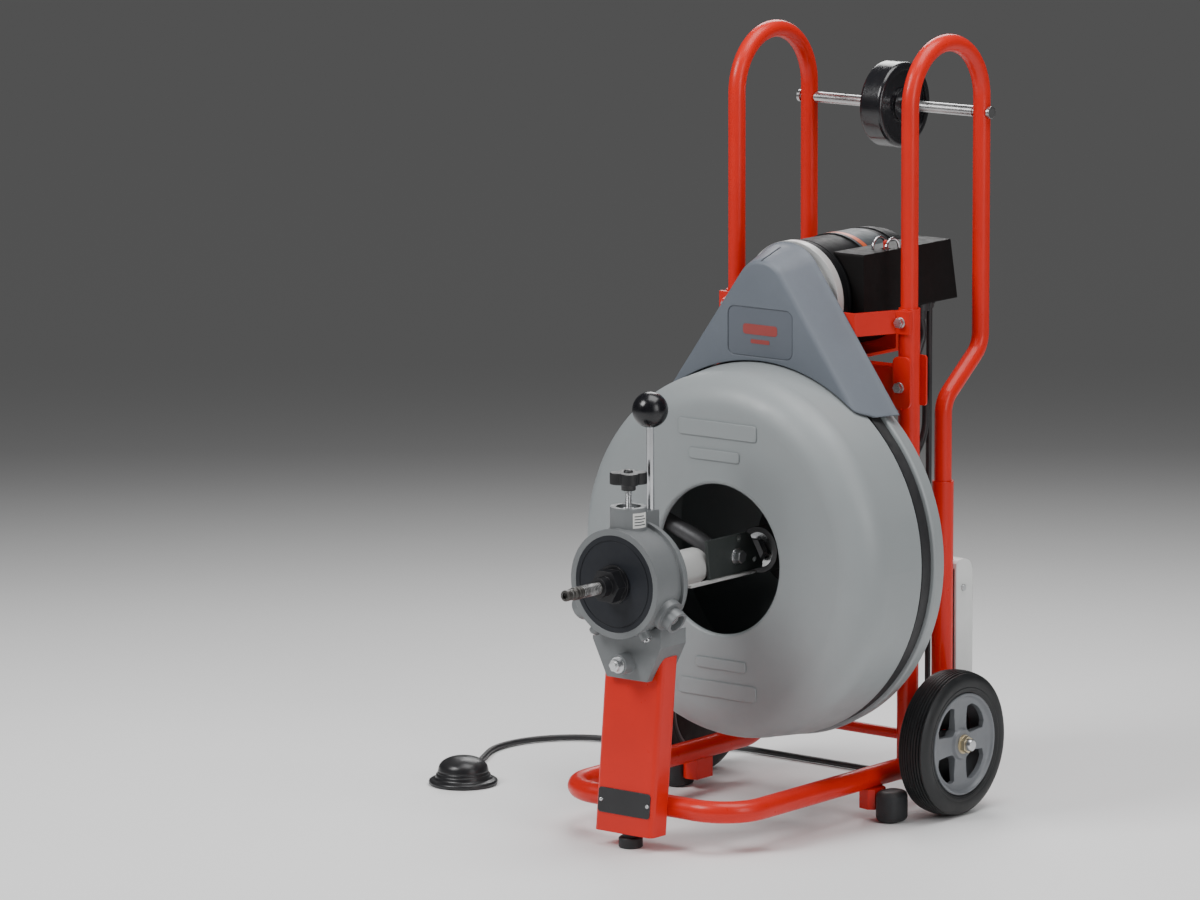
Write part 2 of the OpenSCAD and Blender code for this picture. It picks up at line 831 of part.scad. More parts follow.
module drum_front_shell() {
  color([0.66, 0.68, 0.70]) turned_y(0, drum_z) {
    difference() {
      union() {
        translate([0, drum_front]) square([shoulder_r, seam_y - drum_front]);
        translate([shoulder_r, drum_front + corner_r]) circle(r = corner_r);
        polygon([[shoulder_r - 20, drum_front + corner_r], [side_r, drum_front + corner_r],
                 [drum_r, groove_front - 3], [drum_r - 2, groove_front],
                 [groove_r, groove_front + 2], [groove_r, seam_y], [shoulder_r - 20, seam_y]]);
      }
      front_profile(drum_wall);
      translate([0, drum_front - 1]) square([opening_r, drum_wall + 2]);
      translate([0, seam_y]) square([400, 100]);
    }
    translate([opening_r + 1, drum_front + 5]) circle(r = 5);
  }
}

module drum_rear_shell() {
  color([0.64, 0.66, 0.68]) turned_y(0, drum_z) difference() {
    polygon([[hub_r + fit, drum_back - 4], [220, drum_back - 4], [flange_r - 26, flange_rear - 2],
             [flange_r - 8, flange_rear - 6], [flange_r - 8, groove_rear + 5],
             [groove_r - 4, groove_rear - 1], [groove_r - 4, seam_y + fit],
             [groove_r, seam_y + fit], [groove_r, groove_rear - 1],
             [flange_r - 2, groove_rear], [flange_r, groove_rear + 3],
             [flange_r - 3, flange_rear], [flange_r - 8, flange_rear + 3],
             [222, drum_back], [hub_r + fit, drum_back]]);
  }
}

module drum_hub() {
  color([0.45, 0.46, 0.48]) {
    turned_y(0, drum_z) difference() {
      union() {
        translate([0, hub_front]) square([hub_r, hub_rear - hub_front]);
        translate([0, drum_back - 12]) square([70, 8 - fit]);
      }
      translate([-1, hub_front - 1]) square([hub_bore_r + 1 + fit, 130]);
    }
    for (a = [0 : 60 : 300]) translate([0, 0, drum_z]) rotate([0, a, 0])
      translate([56, drum_back - 11.9, 0]) rotate([90, 0, 0]) linear_extrude(6) hexagon(13);
  }
}

module drum_bearings() {
  color([0.75, 0.76, 0.78]) turned_y(0, drum_z) for (y = [hub_front + 3, hub_rear - 19])
    translate([spindle_r + fit, y]) square([hub_bore_r - spindle_r - fit, 15]);
}

module drum_spindle() {
  color([0.70, 0.71, 0.73]) {
    rod_y(288, 462, 0, drum_z, spindle_r);
    rod_y(plate_y - 18, plate_y, 0, drum_z, 18);
    translate([0, 296, drum_z]) rotate([90, 0, 0]) linear_extrude(10) hexagon(34);
    translate([0, 456, drum_z]) rotate([90, 0, 0]) linear_extrude(17) hexagon(36);
  }
}

// ---------- belt, guard and motor ----------

// Outline of a band round the drum and the motor pulley, with radius a and radius b
module band(a, b) {
  hull() {
    translate([0, drum_z]) circle(r = a, $fn = 180);
    translate([0, motor_z]) circle(r = b, $fn = 90);
  }
}

module belt() {
  color([0.09, 0.09, 0.10]) plate_xz(belt_front, belt_w) difference() {
    band(belt_inner_r + belt_t, pulley_belt_r + belt_t);
    band(belt_inner_r, pulley_belt_r);
  }
}

module motor_pulley() {
  color([0.60, 0.61, 0.63]) turned_y(0, motor_z) {
    translate([0, belt_front - 2]) square([pulley_r, belt_w + 4]);
    translate([0, belt_front - 5]) square([40, 4]);
    translate([0, belt_front + belt_w + 1]) square([40, 4]);
    translate([0, belt_front - 5]) square([8, 92]);
  }
}

module guard_slab(r, y, low, t) {
  w = (r + (guard_z - low) * sin(guard_side)) / cos(guard_side);
  plate_xz(y, t) translate([0, guard_z]) circle(r = r);
  plate_xz(y, t) translate([-w, low]) square([2 * w, 0.1]);
}

module belt_guard() {
  color([0.38, 0.42, 0.48]) difference() {
    hull() {
      guard_slab(guard_front_r, guard_front, guard_low, 0.1);
      guard_slab(guard_rear_r, guard_rear - 0.1, guard_low, 0.1);
    }
    hull() {
      guard_slab(guard_front_r - guard_wall, guard_front + guard_wall, guard_low - 10, 0.1);
      guard_slab(guard_rear_r - guard_wall - 0.7, guard_rear - guard_wall - 0.1, guard_low - 10,
                 0.1);
    }
    rod_y(guard_front - 1, guard_rear + 1, 0, drum_z, guard_clear_r);
    rod_y(guard_rear - 5, guard_rear + 1, 0, motor_z, 30);
  }
}

module motor_shell() {
  color([0.06, 0.06, 0.07]) turned_y(0, motor_z) difference() {
    translate([0, shell_front + fit]) square([motor_r, shell_rear - shell_front - 2 * fit]);
    translate([-1, shell_front - 1]) square([motor_r - 5, shell_rear - shell_front + 2]);
    for (y = [shell_front + 14, shell_rear - 16]) translate([motor_r - 1, y]) square([2, 3]);
  }
}

module motor_front_bell() {
  color([0.82, 0.82, 0.80]) difference() {
    union() {
      turned_y(0, motor_z) {
        translate([0, motor_front + 6]) square([85, shell_front - motor_front - 6]);
        translate([0, motor_front]) square([70, 8]);
      }
      translate([0, 0, motor_z]) rotate([0, 42, 0]) translate([78, motor_front + 6, -9])
        cube([14, 14, 18]);
    }
    rod_y(motor_front - 1, shell_front + 1, 0, motor_z, 8 + fit);
    for (a = [0 : 30 : 330]) translate([0, 0, motor_z]) rotate([0, a, 0])
      rod_y(motor_front - 1, shell_front + 1, 50, 0, 8);
  }
}

module motor_rear_bell() {
  color([0.80, 0.80, 0.78]) difference() {
    turned_y(0, motor_z) {
      translate([0, shell_rear]) square([84.5, 14]);
      translate([0, shell_rear + 10]) square([81, motor_rear - shell_rear - 10]);
    }
    translate([0, 0, motor_z]) rotate([-90, 0, 0]) translate([0, 0, shell_rear - 1])
      cylinder(h = 23, r = 72);
    for (a = [0 : 20 : 340]) translate([0, 0, motor_z]) rotate([0, a, 0])
      translate([42, motor_rear - 12, -2.5]) cube([24, 20, 5]);
  }
}

module switch_box() {
  color([0.10, 0.08, 0.08]) difference() {
    plate_yz(45, 60) polygon([[413, 730], [415, 728], [645, 728], [627, 817], [415, 817],
                              [413, 815]]);
    plate_yz(49, 52) polygon([[417, 732], [639, 732], [621, 813], [417, 813]]);
    rod_y(400, 660, 0, motor_z, 84.5 + fit);
    translate([84, 480, 800]) cube([12, 14, 30]);
  }
}

module switch_guard() {
  color([0.80, 0.81, 0.83]) for (x = [78, 102])
    translate([x, 487, 817]) rotate([90, 0, 90]) rotate_extrude(angle = 180)
      translate([16, 0]) circle(r = 2);
}

module switch_toggle() {
  color([0.75, 0.10, 0.08]) {
    rod_x(85, 95, 487, 808, 5);
    translate([90, 487, 806]) cylinder(h = 20, r1 = 3, r2 = 4);
    translate([90, 487, 826]) sphere(r = 4);
  }
}

// Moves from inside the gland down to the plug
cord_moves = [[16, 18, 30], [8, -45, 25], [22, 50, 30], [40, -24, 60], [14, -41, 60],
              [22, 42, 60], [190, 0, 0]];

module power_cord() {
  route = laid(cord_moves);
  end = route[len(route) - 1];
  color([0.06, 0.06, 0.07]) {
    translate([94, 570, 723.9]) rotate([0, 90, 0]) {
      swept([for (p = route) level(p)], 5.2);
      translate([end[0] - 1, end[1], 0]) rotate([0, 90, 0]) {
        linear_extrude(48) round_box(24, 30, 7);
        for (s = [-1, 1]) translate([-3, s * 6.5 - 0.8, 47.9]) cube([6, 1.6, 18.1]);
        translate([8, 0, 47.9]) cylinder(h = 19.1, r = 2.2);
      }
    }
    rod_z(716, 727.9, 94, 570, 10);
  }
}

// The hose lies on the floor from the pedal, then turns up between the handles to the box
floor_moves = [[262, 20, 120], [212, 98, 130], [150, 0, 0]];
rise_moves = [[0, 90, 60], [723 - hose_z - 60, 0, 0]];
function on_floor(p) = [[24 - p[0], hose_y - p[1], hose_z], [-sin(p[2]), cos(p[2]), 0], [0, 0, 1]];
function rising(p) = [[24 + p[0], hose_y, hose_z + p[1]], [0, 1, 0], [-sin(p[2]), 0, cos(p[2])]];

module air_hose() {
  out = laid(floor_moves);
  color([0.07, 0.07, 0.08]) {
    swept(concat([for (i = [len(out) - 1 : -1 : 0]) on_floor(out[i])],
                 [for (p = path(rise_moves)) rising(p)]), hose_r);
    rod_z(718, 727.9, 84, hose_y, 8);
  }
}

// ---------- pedal and carrying roller ----------

module pedal_base() {
  color([0.05, 0.05, 0.06]) difference() {
    translate([pedal_x, pedal_y, 0]) rotate_extrude() difference() {
      union() {
        square([48, 8]);
        translate([48, 4]) circle(r = 3.9);
        square([43, 17]);
      }
      translate([-1, 3]) square([dome_r + 1.1, 20]);
      translate([-60, -10]) square([60, 40]);
    }
    translate([-478.2, 208.7, hose_z]) rotate([0, 90, 118]) translate([0, 0, -0.1])
      cylinder(h = 30, r = hose_r + fit);
  }
}

module pedal_dome() {
  color([0.06, 0.06, 0.07]) translate([pedal_x, pedal_y, 0]) rotate_extrude() difference() {
    union() {
      translate([0, 12]) square([dome_r, 14]);
      intersection() {
        translate([0, -10]) circle(r = 52);
        translate([0, 20]) square([dome_r, 30]);
      }
    }
    translate([-1, 11]) square([dome_r - 4, 14]);
    intersection() {
      translate([0, -10]) circle(r = 48);
      translate([-1, 20]) square([dome_r - 4, 30]);
    }
    translate([-90, -10]) square([90, 60]);
  }
}

module roller_rod() {
  color([0.75, 0.76, 0.78]) {
    rod_x(-(half_track - 14), half_track - 14, handle_rear_y, rod_z, axle_r);
    rod_x(-172, 172, handle_rear_y, rod_z, 6);
    for (s = [-1, 1]) scale([s, 1, 1]) turned_x(handle_rear_y, rod_z) {
      translate([0, 171]) square([9, 5]);
    }
    // collars that keep the roller in the middle
    for (s = [-1, 1]) scale([s, 1, 1]) rod_x(20.6, 28, handle_rear_y, rod_z, 12);
  }
}

module carry_roller() {
  color([0.06, 0.06, 0.07]) difference() {
    turned_x(handle_rear_y, rod_z) difference() {
      translate([31.75, 0]) round_box(63.5, 40, 6);
      for (s = [-1, 1]) translate([22, s * 20]) square([30, 6], center = false);
      translate([-10, -30]) square([10 + axle_r + fit, 60]);
    }
    for (s = [-1, 1]) turned_x(handle_rear_y, rod_z)
      translate([26, s * 18 - 3]) square([26, 6]);
  }
}

// ---------- drawing ----------
base_tube();
uprights();
left_handle();
right_handle();
crossmembers();
guard_straps();
motor_cradle();
frame_bolts();
wheel_axle();
axle_retainers();
stair_skids();
front_post();
rubber_feet();
foot_brackets();
post_badge();
autofeed_bracket();
autofeed_housing();
head_retainers();
face_plate();
nose_bushing();
drum_spindle();
belt();
belt_guard();
motor_shell();
motor_front_bell();
motor_rear_bell();
switch_box();
switch_guard();
power_cord();
air_hose();
pedal_base();
roller_rod();
drum_front_shell();
drum_rear_shell();
drum_hub();
drum_bearings();
cable_coil();
guide_tube();
guide_plate();
lead_cable();
cable_coupling();
motor_pulley();
control_ring();
feed_lever();
lever_knob();
top_carrier();
left_carrier();
right_carrier();
top_feed_roller();
left_feed_roller();
right_feed_roller();
press_cup();
star_knob();
left_hub();
left_tyre();
right_hub();
right_tyre();
carry_roller();
switch_toggle();
pedal_dome();
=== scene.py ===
import json
import math

import bmesh
import bpy
from mathutils import Matrix, Vector


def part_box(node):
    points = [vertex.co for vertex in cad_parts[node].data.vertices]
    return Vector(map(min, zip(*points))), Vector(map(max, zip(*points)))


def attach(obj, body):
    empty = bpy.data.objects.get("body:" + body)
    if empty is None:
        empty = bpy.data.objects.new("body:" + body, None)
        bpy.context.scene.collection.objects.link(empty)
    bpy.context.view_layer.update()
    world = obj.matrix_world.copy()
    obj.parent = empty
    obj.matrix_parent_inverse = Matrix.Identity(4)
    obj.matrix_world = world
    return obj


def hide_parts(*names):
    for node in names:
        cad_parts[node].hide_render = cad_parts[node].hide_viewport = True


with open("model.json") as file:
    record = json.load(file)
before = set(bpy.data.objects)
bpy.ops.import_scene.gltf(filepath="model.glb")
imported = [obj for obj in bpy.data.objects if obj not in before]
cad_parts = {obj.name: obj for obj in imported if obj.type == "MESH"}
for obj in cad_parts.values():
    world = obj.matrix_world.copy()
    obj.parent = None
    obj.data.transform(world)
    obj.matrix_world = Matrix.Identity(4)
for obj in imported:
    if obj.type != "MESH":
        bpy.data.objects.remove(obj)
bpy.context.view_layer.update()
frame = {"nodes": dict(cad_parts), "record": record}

NODES = frame["nodes"]
SCENE = bpy.context.scene
PI = math.pi


# ---------------------------------------------------------------- places, in metres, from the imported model
X, Y, Z = 0, 1, 2


def lowest(node, axis):
    """The low end of a CAD node's box along an axis, to a hundredth of a millimetre."""
    return round(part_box(node)[0][axis], 5)


def highest(node, axis):
    """The high end of a CAD node's box along an axis, to a hundredth of a millimetre."""
    return round(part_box(node)[1][axis], 5)


def middle(node, axis):
    """The middle of a CAD node's box along an axis, to a hundredth of a millimetre."""
    low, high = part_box(node)
    return round((low[axis] + high[axis]) / 2, 5)


AXIS_Z = middle("lead_cable", Z)
MOTOR_Z = middle("motor_shell", Z)
WHEEL_X = middle("right_tyre", X)
AXLE = (middle("wheel_axle", Y), middle("wheel_axle", Z))
AXLE_END = highest("wheel_axle", X) - 0.0002
HEAD_Y = middle("star_knob", Y)
BALL = (0, middle("lever_knob", Y), highest("feed_lever", Z))
PEDAL = (middle("pedal_base", X), middle("pedal_base", Y), 0.0)
SWITCH_BOTTOM = lowest("switch_box", Z)
# where the hose and the cord leave the switch box
HOSE_Y = 0.604
CORD_AT = (middle("power_cord", X), 0.570)
SIDES = (("left", -1), ("right", 1))


# ---------------------------------------------------------------- materials
class Tree:
    """A node material in the making, textured in the object's own coordinates."""
    def __init__(self, name):
        self.material = bpy.data.materials.new(name)
        self.material.use_nodes = True
        self.nodes = self.material.node_tree.nodes
        self.links = self.material.node_tree.links
        self.bsdf = self.nodes["Principled BSDF"]
        self.coord = self.nodes.new("ShaderNodeTexCoord").outputs["Object"]

    def noise(self, scale, detail=4.0, rough=0.55, stretch=None):
        texture = self.nodes.new("ShaderNodeTexNoise")
        texture.inputs["Scale"].default_value = scale
        texture.inputs["Detail"].default_value = detail
        texture.inputs["Roughness"].default_value = rough
        source = self.coord
        if stretch:
            mapping = self.nodes.new("ShaderNodeMapping")
            mapping.inputs["Scale"].default_value = stretch
            self.links.new(source, mapping.inputs["Vector"])
            source = mapping.outputs["Vector"]
        self.links.new(source, texture.inputs["Vector"])
        return texture.outputs["Fac"]

    def ramp(self, value, low, high, start=0.0, end=1.0):
        """Maps value from low..high to start..end."""
        spread = self.nodes.new("ShaderNodeMapRange")
        spread.inputs["From Min"].default_value = low
        spread.inputs["From Max"].default_value = high
        spread.inputs["To Min"].default_value = start
        spread.inputs["To Max"].default_value = end
        self.links.new(value, spread.inputs["Value"])
        return spread.outputs["Result"]

    def mix(self, share, first, second):
        """Mixes two colours: a share of 0 gives the first one, and a share of 1 the second."""
        blend = self.nodes.new("ShaderNodeMix")
        blend.data_type = "RGBA"
        self.links.new(share, blend.inputs[0])
        for socket, colour in ((6, first), (7, second)):
            if isinstance(colour, tuple):
                blend.inputs[socket].default_value = (*colour[:3], 1)
            else:
                self.links.new(colour, blend.inputs[socket])
        return blend.outputs[2]

    def math(self, operation, first, second):
        node = self.nodes.new("ShaderNodeMath")
        node.operation = operation
        for socket, value in ((0, first), (1, second)):
            if isinstance(value, (float, int)):
                node.inputs[socket].default_value = value
            else:
                self.links.new(value, node.inputs[socket])
        return node.outputs[0]

    def bump(self, height, strength, distance, normal=None):
        """Raises the surface by height, over an optional softened normal."""
        node = self.nodes.new("ShaderNodeBump")
        node.inputs["Strength"].default_value = strength
        node.inputs["Distance"].default_value = distance
        self.links.new(height, node.inputs["Height"])
        if normal:
            self.links.new(normal, node.inputs["Normal"])
        self.links.new(node.outputs[0], self.bsdf.inputs["Normal"])


DUST = (0.35, 0.34, 0.32)


def mat(name, colour, rough=0.5, metal=0.0, vary=0.12, fine=900.0, bump=0.15, edge=0.0012, wear=None,
        coat=0.0, coarse=9.0, dust=0.0, stretch=None, spec=0.5, orange=0.0):
    """A painted, moulded or metal finish. vary is the share by which its tone changes, coarse and fine are
    the scales of its textures, edge is the radius of its soft edges, wear is the tone of rubbed edges, dust
    is the share of dust on upward faces and orange is the strength of a paint's orange peel."""
    t = Tree(name)
    clouds = t.noise(coarse, 3.0)
    patches = t.noise(coarse * 9, 5.0)
    grain = t.noise(fine, 3.0, 0.6, stretch)
    dark = tuple(c * (1 - vary) for c in colour)
    light = tuple(min(1, c * (1 + vary)) for c in colour)
    stain = tuple(c * (1 - 0.7 * vary) for c in colour)
    tone = t.mix(t.ramp(clouds, 0.35, 0.65), dark, light)
    tone = t.mix(t.math("MULTIPLY", t.ramp(patches, 0.42, 0.62), 0.35), tone, stain)
    soft = None
    if edge > 0:
        bevel = t.nodes.new("ShaderNodeBevel")
        bevel.samples = 4
        bevel.inputs["Radius"].default_value = edge
        soft = bevel.outputs[0]
        surface = t.nodes.new("ShaderNodeNewGeometry")
        facing = t.nodes.new("ShaderNodeVectorMath")
        facing.operation = "DOT_PRODUCT"
        t.links.new(soft, facing.inputs[0])
        t.links.new(surface.outputs["Normal"], facing.inputs[1])
        if wear:
            on_edge = t.ramp(facing.outputs["Value"], 0.985, 0.86)
            rubbed = t.math("MULTIPLY", on_edge, t.ramp(patches, 0.46, 0.6))
            tone = t.mix(t.math("MULTIPLY", rubbed, 0.7), tone, wear)
    if dust > 0:
        surface = t.nodes.new("ShaderNodeNewGeometry")
        parts = t.nodes.new("ShaderNodeSeparateXYZ")
        t.links.new(surface.outputs["Normal"], parts.inputs[0])
        upward = t.math("MULTIPLY", t.ramp(parts.outputs["Z"], 0.2, 1.0), t.ramp(patches, 0.35, 0.7))
        tone = t.mix(t.math("MULTIPLY", upward, dust), tone, DUST)
    t.links.new(tone, t.bsdf.inputs["Base Color"])
    roughness = t.math("ADD", t.ramp(patches, 0.3, 0.7, rough - 0.06, rough + 0.07),
                       t.ramp(grain, 0.3, 0.7, -0.03, 0.03))
    t.links.new(roughness, t.bsdf.inputs["Roughness"])
    t.bsdf.inputs["Metallic"].default_value = metal
    t.bsdf.inputs["Specular IOR Level"].default_value = spec
    if coat:
        t.bsdf.inputs["Coat Weight"].default_value = coat
        t.bsdf.inputs["Coat Roughness"].default_value = 0.12
    height = grain
    if orange:
        height = t.math("ADD", grain, t.math("MULTIPLY", t.noise(260, 2.0), orange))
    t.bump(height, bump, 0.0004, soft)
    return t.material


RED = (0.66, 0.017, 0.008)
LOOKS = {
    "frame_paint": mat("frame_paint", RED, 0.34, vary=0.05, fine=420, bump=0.08, orange=1.0, coat=0.10,
                       spec=0.3, wear=(0.42, 0.05, 0.03)),
    "zinc": mat("zinc", (0.62, 0.63, 0.64), 0.3, 1.0, 0.12, fine=1500, bump=0.06, wear=(0.8, 0.8, 0.8)),
    "bearing_metal": mat("bearing_metal", (0.60, 0.52, 0.36), 0.32, 1.0, 0.15, fine=1500, bump=0.06),
    "skid_plastic": mat("skid_plastic", (0.74, 0.75, 0.74), 0.42, vary=0.05, fine=700, bump=0.1, edge=0.002),
    "foot_rubber": mat("foot_rubber", (0.016, 0.017, 0.019), 0.55, vary=0.25, fine=800, bump=0.3, dust=0.10,
                       edge=0.004),
    "badge": mat("badge", (0.022, 0.022, 0.024), 0.35, vary=0.2, fine=900, bump=0.1, wear=(0.3, 0.3, 0.3)),
    "casting": mat("casting", (0.17, 0.18, 0.185), 0.42, 0.12, 0.07, fine=900, bump=0.22, edge=0.0022,
                   wear=(0.30, 0.31, 0.32)),
    "face_paint": mat("face_paint", (0.014, 0.016, 0.021), 0.5, vary=0.15, fine=1100, bump=0.12, spec=0.3),
    "dark_metal": mat("dark_metal", (0.010, 0.010, 0.012), 0.36, 0.2, 0.2, fine=1100, bump=0.12,
                      wear=(0.08, 0.08, 0.08)),
    "machined_steel": mat("machined_steel", (0.50, 0.50, 0.50), 0.3, 1.0, 0.12, fine=1300, bump=0.08),
    "belt_rubber": mat("belt_rubber", (0.018, 0.018, 0.020), 0.55, vary=0.25, fine=900, bump=0.25, dust=0.1),
    "guard_plastic": mat("guard_plastic", (0.135, 0.154, 0.182), 0.48, vary=0.05, fine=750, bump=0.2,
                         edge=0.003),
    "motor_paint": mat("motor_paint", (0.006, 0.006, 0.007), 0.5, vary=0.2, fine=700, bump=0.12, spec=0.15,
                       edge=0.002),
    "motor_bell": mat("motor_bell", (0.66, 0.66, 0.65), 0.36, 0.35, 0.06, fine=900, bump=0.15, edge=0.002),
    "switch_plastic": mat("switch_plastic", (0.007, 0.006, 0.006), 0.55, vary=0.2, fine=800, bump=0.15,
                          edge=0.003, spec=0.15),
    "chrome": mat("chrome", (0.70, 0.71, 0.73), 0.12, 1.0, 0.05, fine=1800, bump=0.03),
    "toggle_red": mat("toggle_red", (0.55, 0.03, 0.02), 0.3, vary=0.08, bump=0.05),
    "cord_rubber": mat("cord_rubber", (0.022, 0.022, 0.024), 0.42, vary=0.2, fine=900, bump=0.15, dust=0.12),
    "pedal_rubber": mat("pedal_rubber", (0.016, 0.016, 0.018), 0.34, vary=0.2, fine=900, bump=0.15,
                        dust=0.05),
    "drum_plastic": mat("drum_plastic", (0.285, 0.308, 0.315), 0.44, vary=0.035, fine=650, bump=0.22,
                        edge=0.003, coarse=5),
    "coupling_steel": mat("coupling_steel", (0.07, 0.067, 0.063), 0.42, 0.7, 0.2, fine=1300, bump=0.12,
                          wear=(0.5, 0.5, 0.5)),
    "guide_metal": mat("guide_metal", (0.50, 0.50, 0.49), 0.36, 0.2, 0.08, fine=1000, bump=0.15, edge=0.003),
    "ball_black": mat("ball_black", (0.006, 0.006, 0.008), 0.24, vary=0.2, fine=900, bump=0.02),
    "knob_black": mat("knob_black", (0.006, 0.006, 0.007), 0.42, vary=0.2, fine=900, bump=0.15, edge=0.002),
    "hub_grey": mat("hub_grey", (0.19, 0.20, 0.215), 0.42, 0.1, 0.06, fine=900, bump=0.15, edge=0.002),
    "roller_plastic": mat("roller_plastic", (0.010, 0.010, 0.012), 0.22, vary=0.2, fine=900, bump=0.08,
                          coat=0.3),
}


def cable_material():
    """Close-wound steel cable: fine turns along its length, painted shade in the grooves between them, and
    patches of oily grime.
    """
    t = Tree("cable_steel")
    turns = t.nodes.new("ShaderNodeTexWave")
    turns.bands_direction = "Y"
    turns.inputs["Scale"].default_value = 95.0
    turns.inputs["Distortion"].default_value = 0.0
    t.links.new(t.coord, turns.inputs["Vector"])
    patches = t.noise(160, 4.0)
    # painted shade: the grooves between the turns are darker than their crests
    tone = t.mix(t.ramp(turns.outputs["Fac"], 0.1, 0.7), (0.085, 0.085, 0.085), (0.40, 0.40, 0.40))
    tone = t.mix(t.math("MULTIPLY", t.ramp(patches, 0.45, 0.7), 0.5), tone, (0.13, 0.125, 0.12))
    t.links.new(tone, t.bsdf.inputs["Base Color"])
    t.bsdf.inputs["Metallic"].default_value = 0.9
    t.links.new(t.ramp(patches, 0.3, 0.7, 0.26, 0.42), t.bsdf.inputs["Roughness"])
    t.bump(turns.outputs["Fac"], 0.8, 0.001)
    return t.material


def tyre_material():
    """Tyre rubber with a fine grain, and dust where it meets the floor."""
    t = Tree("tyre_rubber")
    patches = t.noise(60, 5.0)
    grain = t.noise(1100, 3.0)
    tone = t.mix(t.ramp(patches, 0.35, 0.65), (0.006, 0.007, 0.008), (0.012, 0.013, 0.014))
    parts = t.nodes.new("ShaderNodeSeparateXYZ")
    t.links.new(t.coord, parts.inputs[0])
    low = t.ramp(parts.outputs["Z"], -0.07, -0.107)
    tone = t.mix(t.math("MULTIPLY", low, t.ramp(patches, 0.4, 0.7, 0.05, 0.3)), tone, (0.16, 0.15, 0.14))
    t.links.new(tone, t.bsdf.inputs["Base Color"])
    t.links.new(t.ramp(patches, 0.3, 0.7, 0.42, 0.6), t.bsdf.inputs["Roughness"])
    t.bump(grain, 0.25, 0.0004)
    return t.material


# finishes with a texture of their own, and those of pieces that no record slot has
LOOKS["cable_steel"] = cable_material()
LOOKS["tyre"] = tyre_material()
LOOKS["hub_dark"] = mat("hub_dark", (0.012, 0.012, 0.013), 0.6, vary=0.2, fine=800, bump=0.2, edge=0)
LOOKS["label_panel"] = mat("label_panel", (0.118, 0.134, 0.160), 0.4, vary=0.04, fine=900, bump=0.08,
                           edge=0.001)
LOOKS["label_red"] = mat("label_red", (0.33, 0.055, 0.05), 0.45, vary=0.15, fine=900, bump=0.05, edge=0)
LOOKS["label_white"] = mat("label_white", (0.72, 0.72, 0.69), 0.5, vary=0.04, fine=900, bump=0.05, edge=0)
LOOKS["label_orange"] = mat("label_orange", (0.62, 0.10, 0.02), 0.4, vary=0.1, fine=900, bump=0.05, edge=0)
LOOKS["label_slate"] = mat("label_slate", (0.030, 0.040, 0.046), 0.5, vary=0.1, fine=900, bump=0.05, edge=0)
LOOKS["plate_dark"] = mat("plate_dark", (0.060, 0.068, 0.066), 0.42, 0.5, 0.15, fine=1000, bump=0.2,
                          wear=(0.2, 0.2, 0.2))
LOOKS["coil_dark"] = mat("coil_dark", (0.035, 0.032, 0.030), 0.5, 0.7, 0.3, fine=600, bump=0.5, edge=0,
                         stretch=(1, 6, 1))
LOOKS["spindle_dark"] = mat("spindle_dark", (0.075, 0.075, 0.078), 0.5, 0.5, 0.2, fine=900, bump=0.2)

SLOT_OF = {part["node"]: part["material_slot"] for part in frame["record"]["subparts"]}
# nodes deep in the drum, which take darker finishes than their slot's clean one as painted shade inside the
# drum; the coil's finish also has oily grime
SHADED_IN_DRUM = {"cable_coil": "coil_dark", "drum_spindle": "spindle_dark", "drum_hub": "spindle_dark"}
for name, piece in NODES.items():
    piece.data.materials.clear()
    piece.data.materials.append(LOOKS[SHADED_IN_DRUM.get(name, SLOT_OF[name])])


# ---------------------------------------------------------------- mesh helpers
def new_object(name, verts, faces):
    """A mesh object with merged corners and outward faces."""
    mesh = bpy.data.meshes.new(name)
    mesh.from_pydata([tuple(v) for v in verts], [], faces)
    mesh.validate()
    work = bmesh.new()
    work.from_mesh(mesh)
    bmesh.ops.remove_doubles(work, verts=work.verts, dist=1e-6)
    bmesh.ops.recalc_face_normals(work, faces=work.faces)
    work.to_mesh(mesh)
    work.free()
    piece = bpy.data.objects.new(name, mesh)
    SCENE.collection.objects.link(piece)
    return piece


def shade(mesh, sharp_angle):
    """Smooth shading, with edges over sharp_angle degrees kept sharp."""
    mesh.polygons.foreach_set("use_smooth", [True] * len(mesh.polygons))
    mesh.set_sharp_from_angle(angle=math.radians(sharp_angle))


def soften(piece, width, steps, min_angle):
    """Rounds the edges that turn by more than min_angle degrees."""
    bevel = piece.modifiers.new("bevel", "BEVEL")
    bevel.width = width
    bevel.segments = steps
    bevel.limit_method = "ANGLE"
    bevel.angle_limit = math.radians(min_angle)
    return bevel


def add(name, verts, faces, body, slot, material=None, stands=(), smooth=40, bevel=0.0, bevel_steps=3):
    """A piece that rides on body and has the finish of slot. stands names the CAD nodes it stands for."""
    piece = new_object(name, verts, faces)
    piece.data.materials.append(material or LOOKS[slot])
    shade(piece.data, smooth)
    if bevel:
        soften(piece, bevel, bevel_steps, 32).harden_normals = True
    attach(piece, body)
    if stands:
        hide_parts(*stands)
    return piece


def lathe(name, profile, axis, at, body, slot, steps=96, **looks):
    """Turns a closed profile of (radius, distance along the axis) about an axis through the point at."""
    verts, faces = [], []
    count = len(profile)
    for i in range(steps):
        angle = 2 * PI * i / steps
        for r, along in profile:
            p, q = r * math.cos(angle), r * math.sin(angle)
            offset = {"x": (along, p, q), "y": (p, along, q), "z": (p, q, along)}[axis]
            verts.append(tuple(a + b for a, b in zip(at, offset)))
    for i in range(steps):
        j = (i + 1) % steps
        for k in range(count):
            m = (k + 1) % count
            faces.append((i * count + k, i * count + m, j * count + m, j * count + k))
    return add(name, verts, faces, body, slot, **looks)


def extrusion(outline, place, start, end):
    """Corners and faces of an outline extruded from start to end. place(u, v, t) gives the 3D point."""
    count = len(outline)
    verts = [place(u, v, start) for u, v in outline] + [place(u, v, end) for u, v in outline]
    faces = [tuple(range(count)), tuple(range(2 * count - 1, count - 1, -1))]
    faces += [(i, i + count, (i + 1) % count + count, (i + 1) % count) for i in range(count)]
    return verts, faces


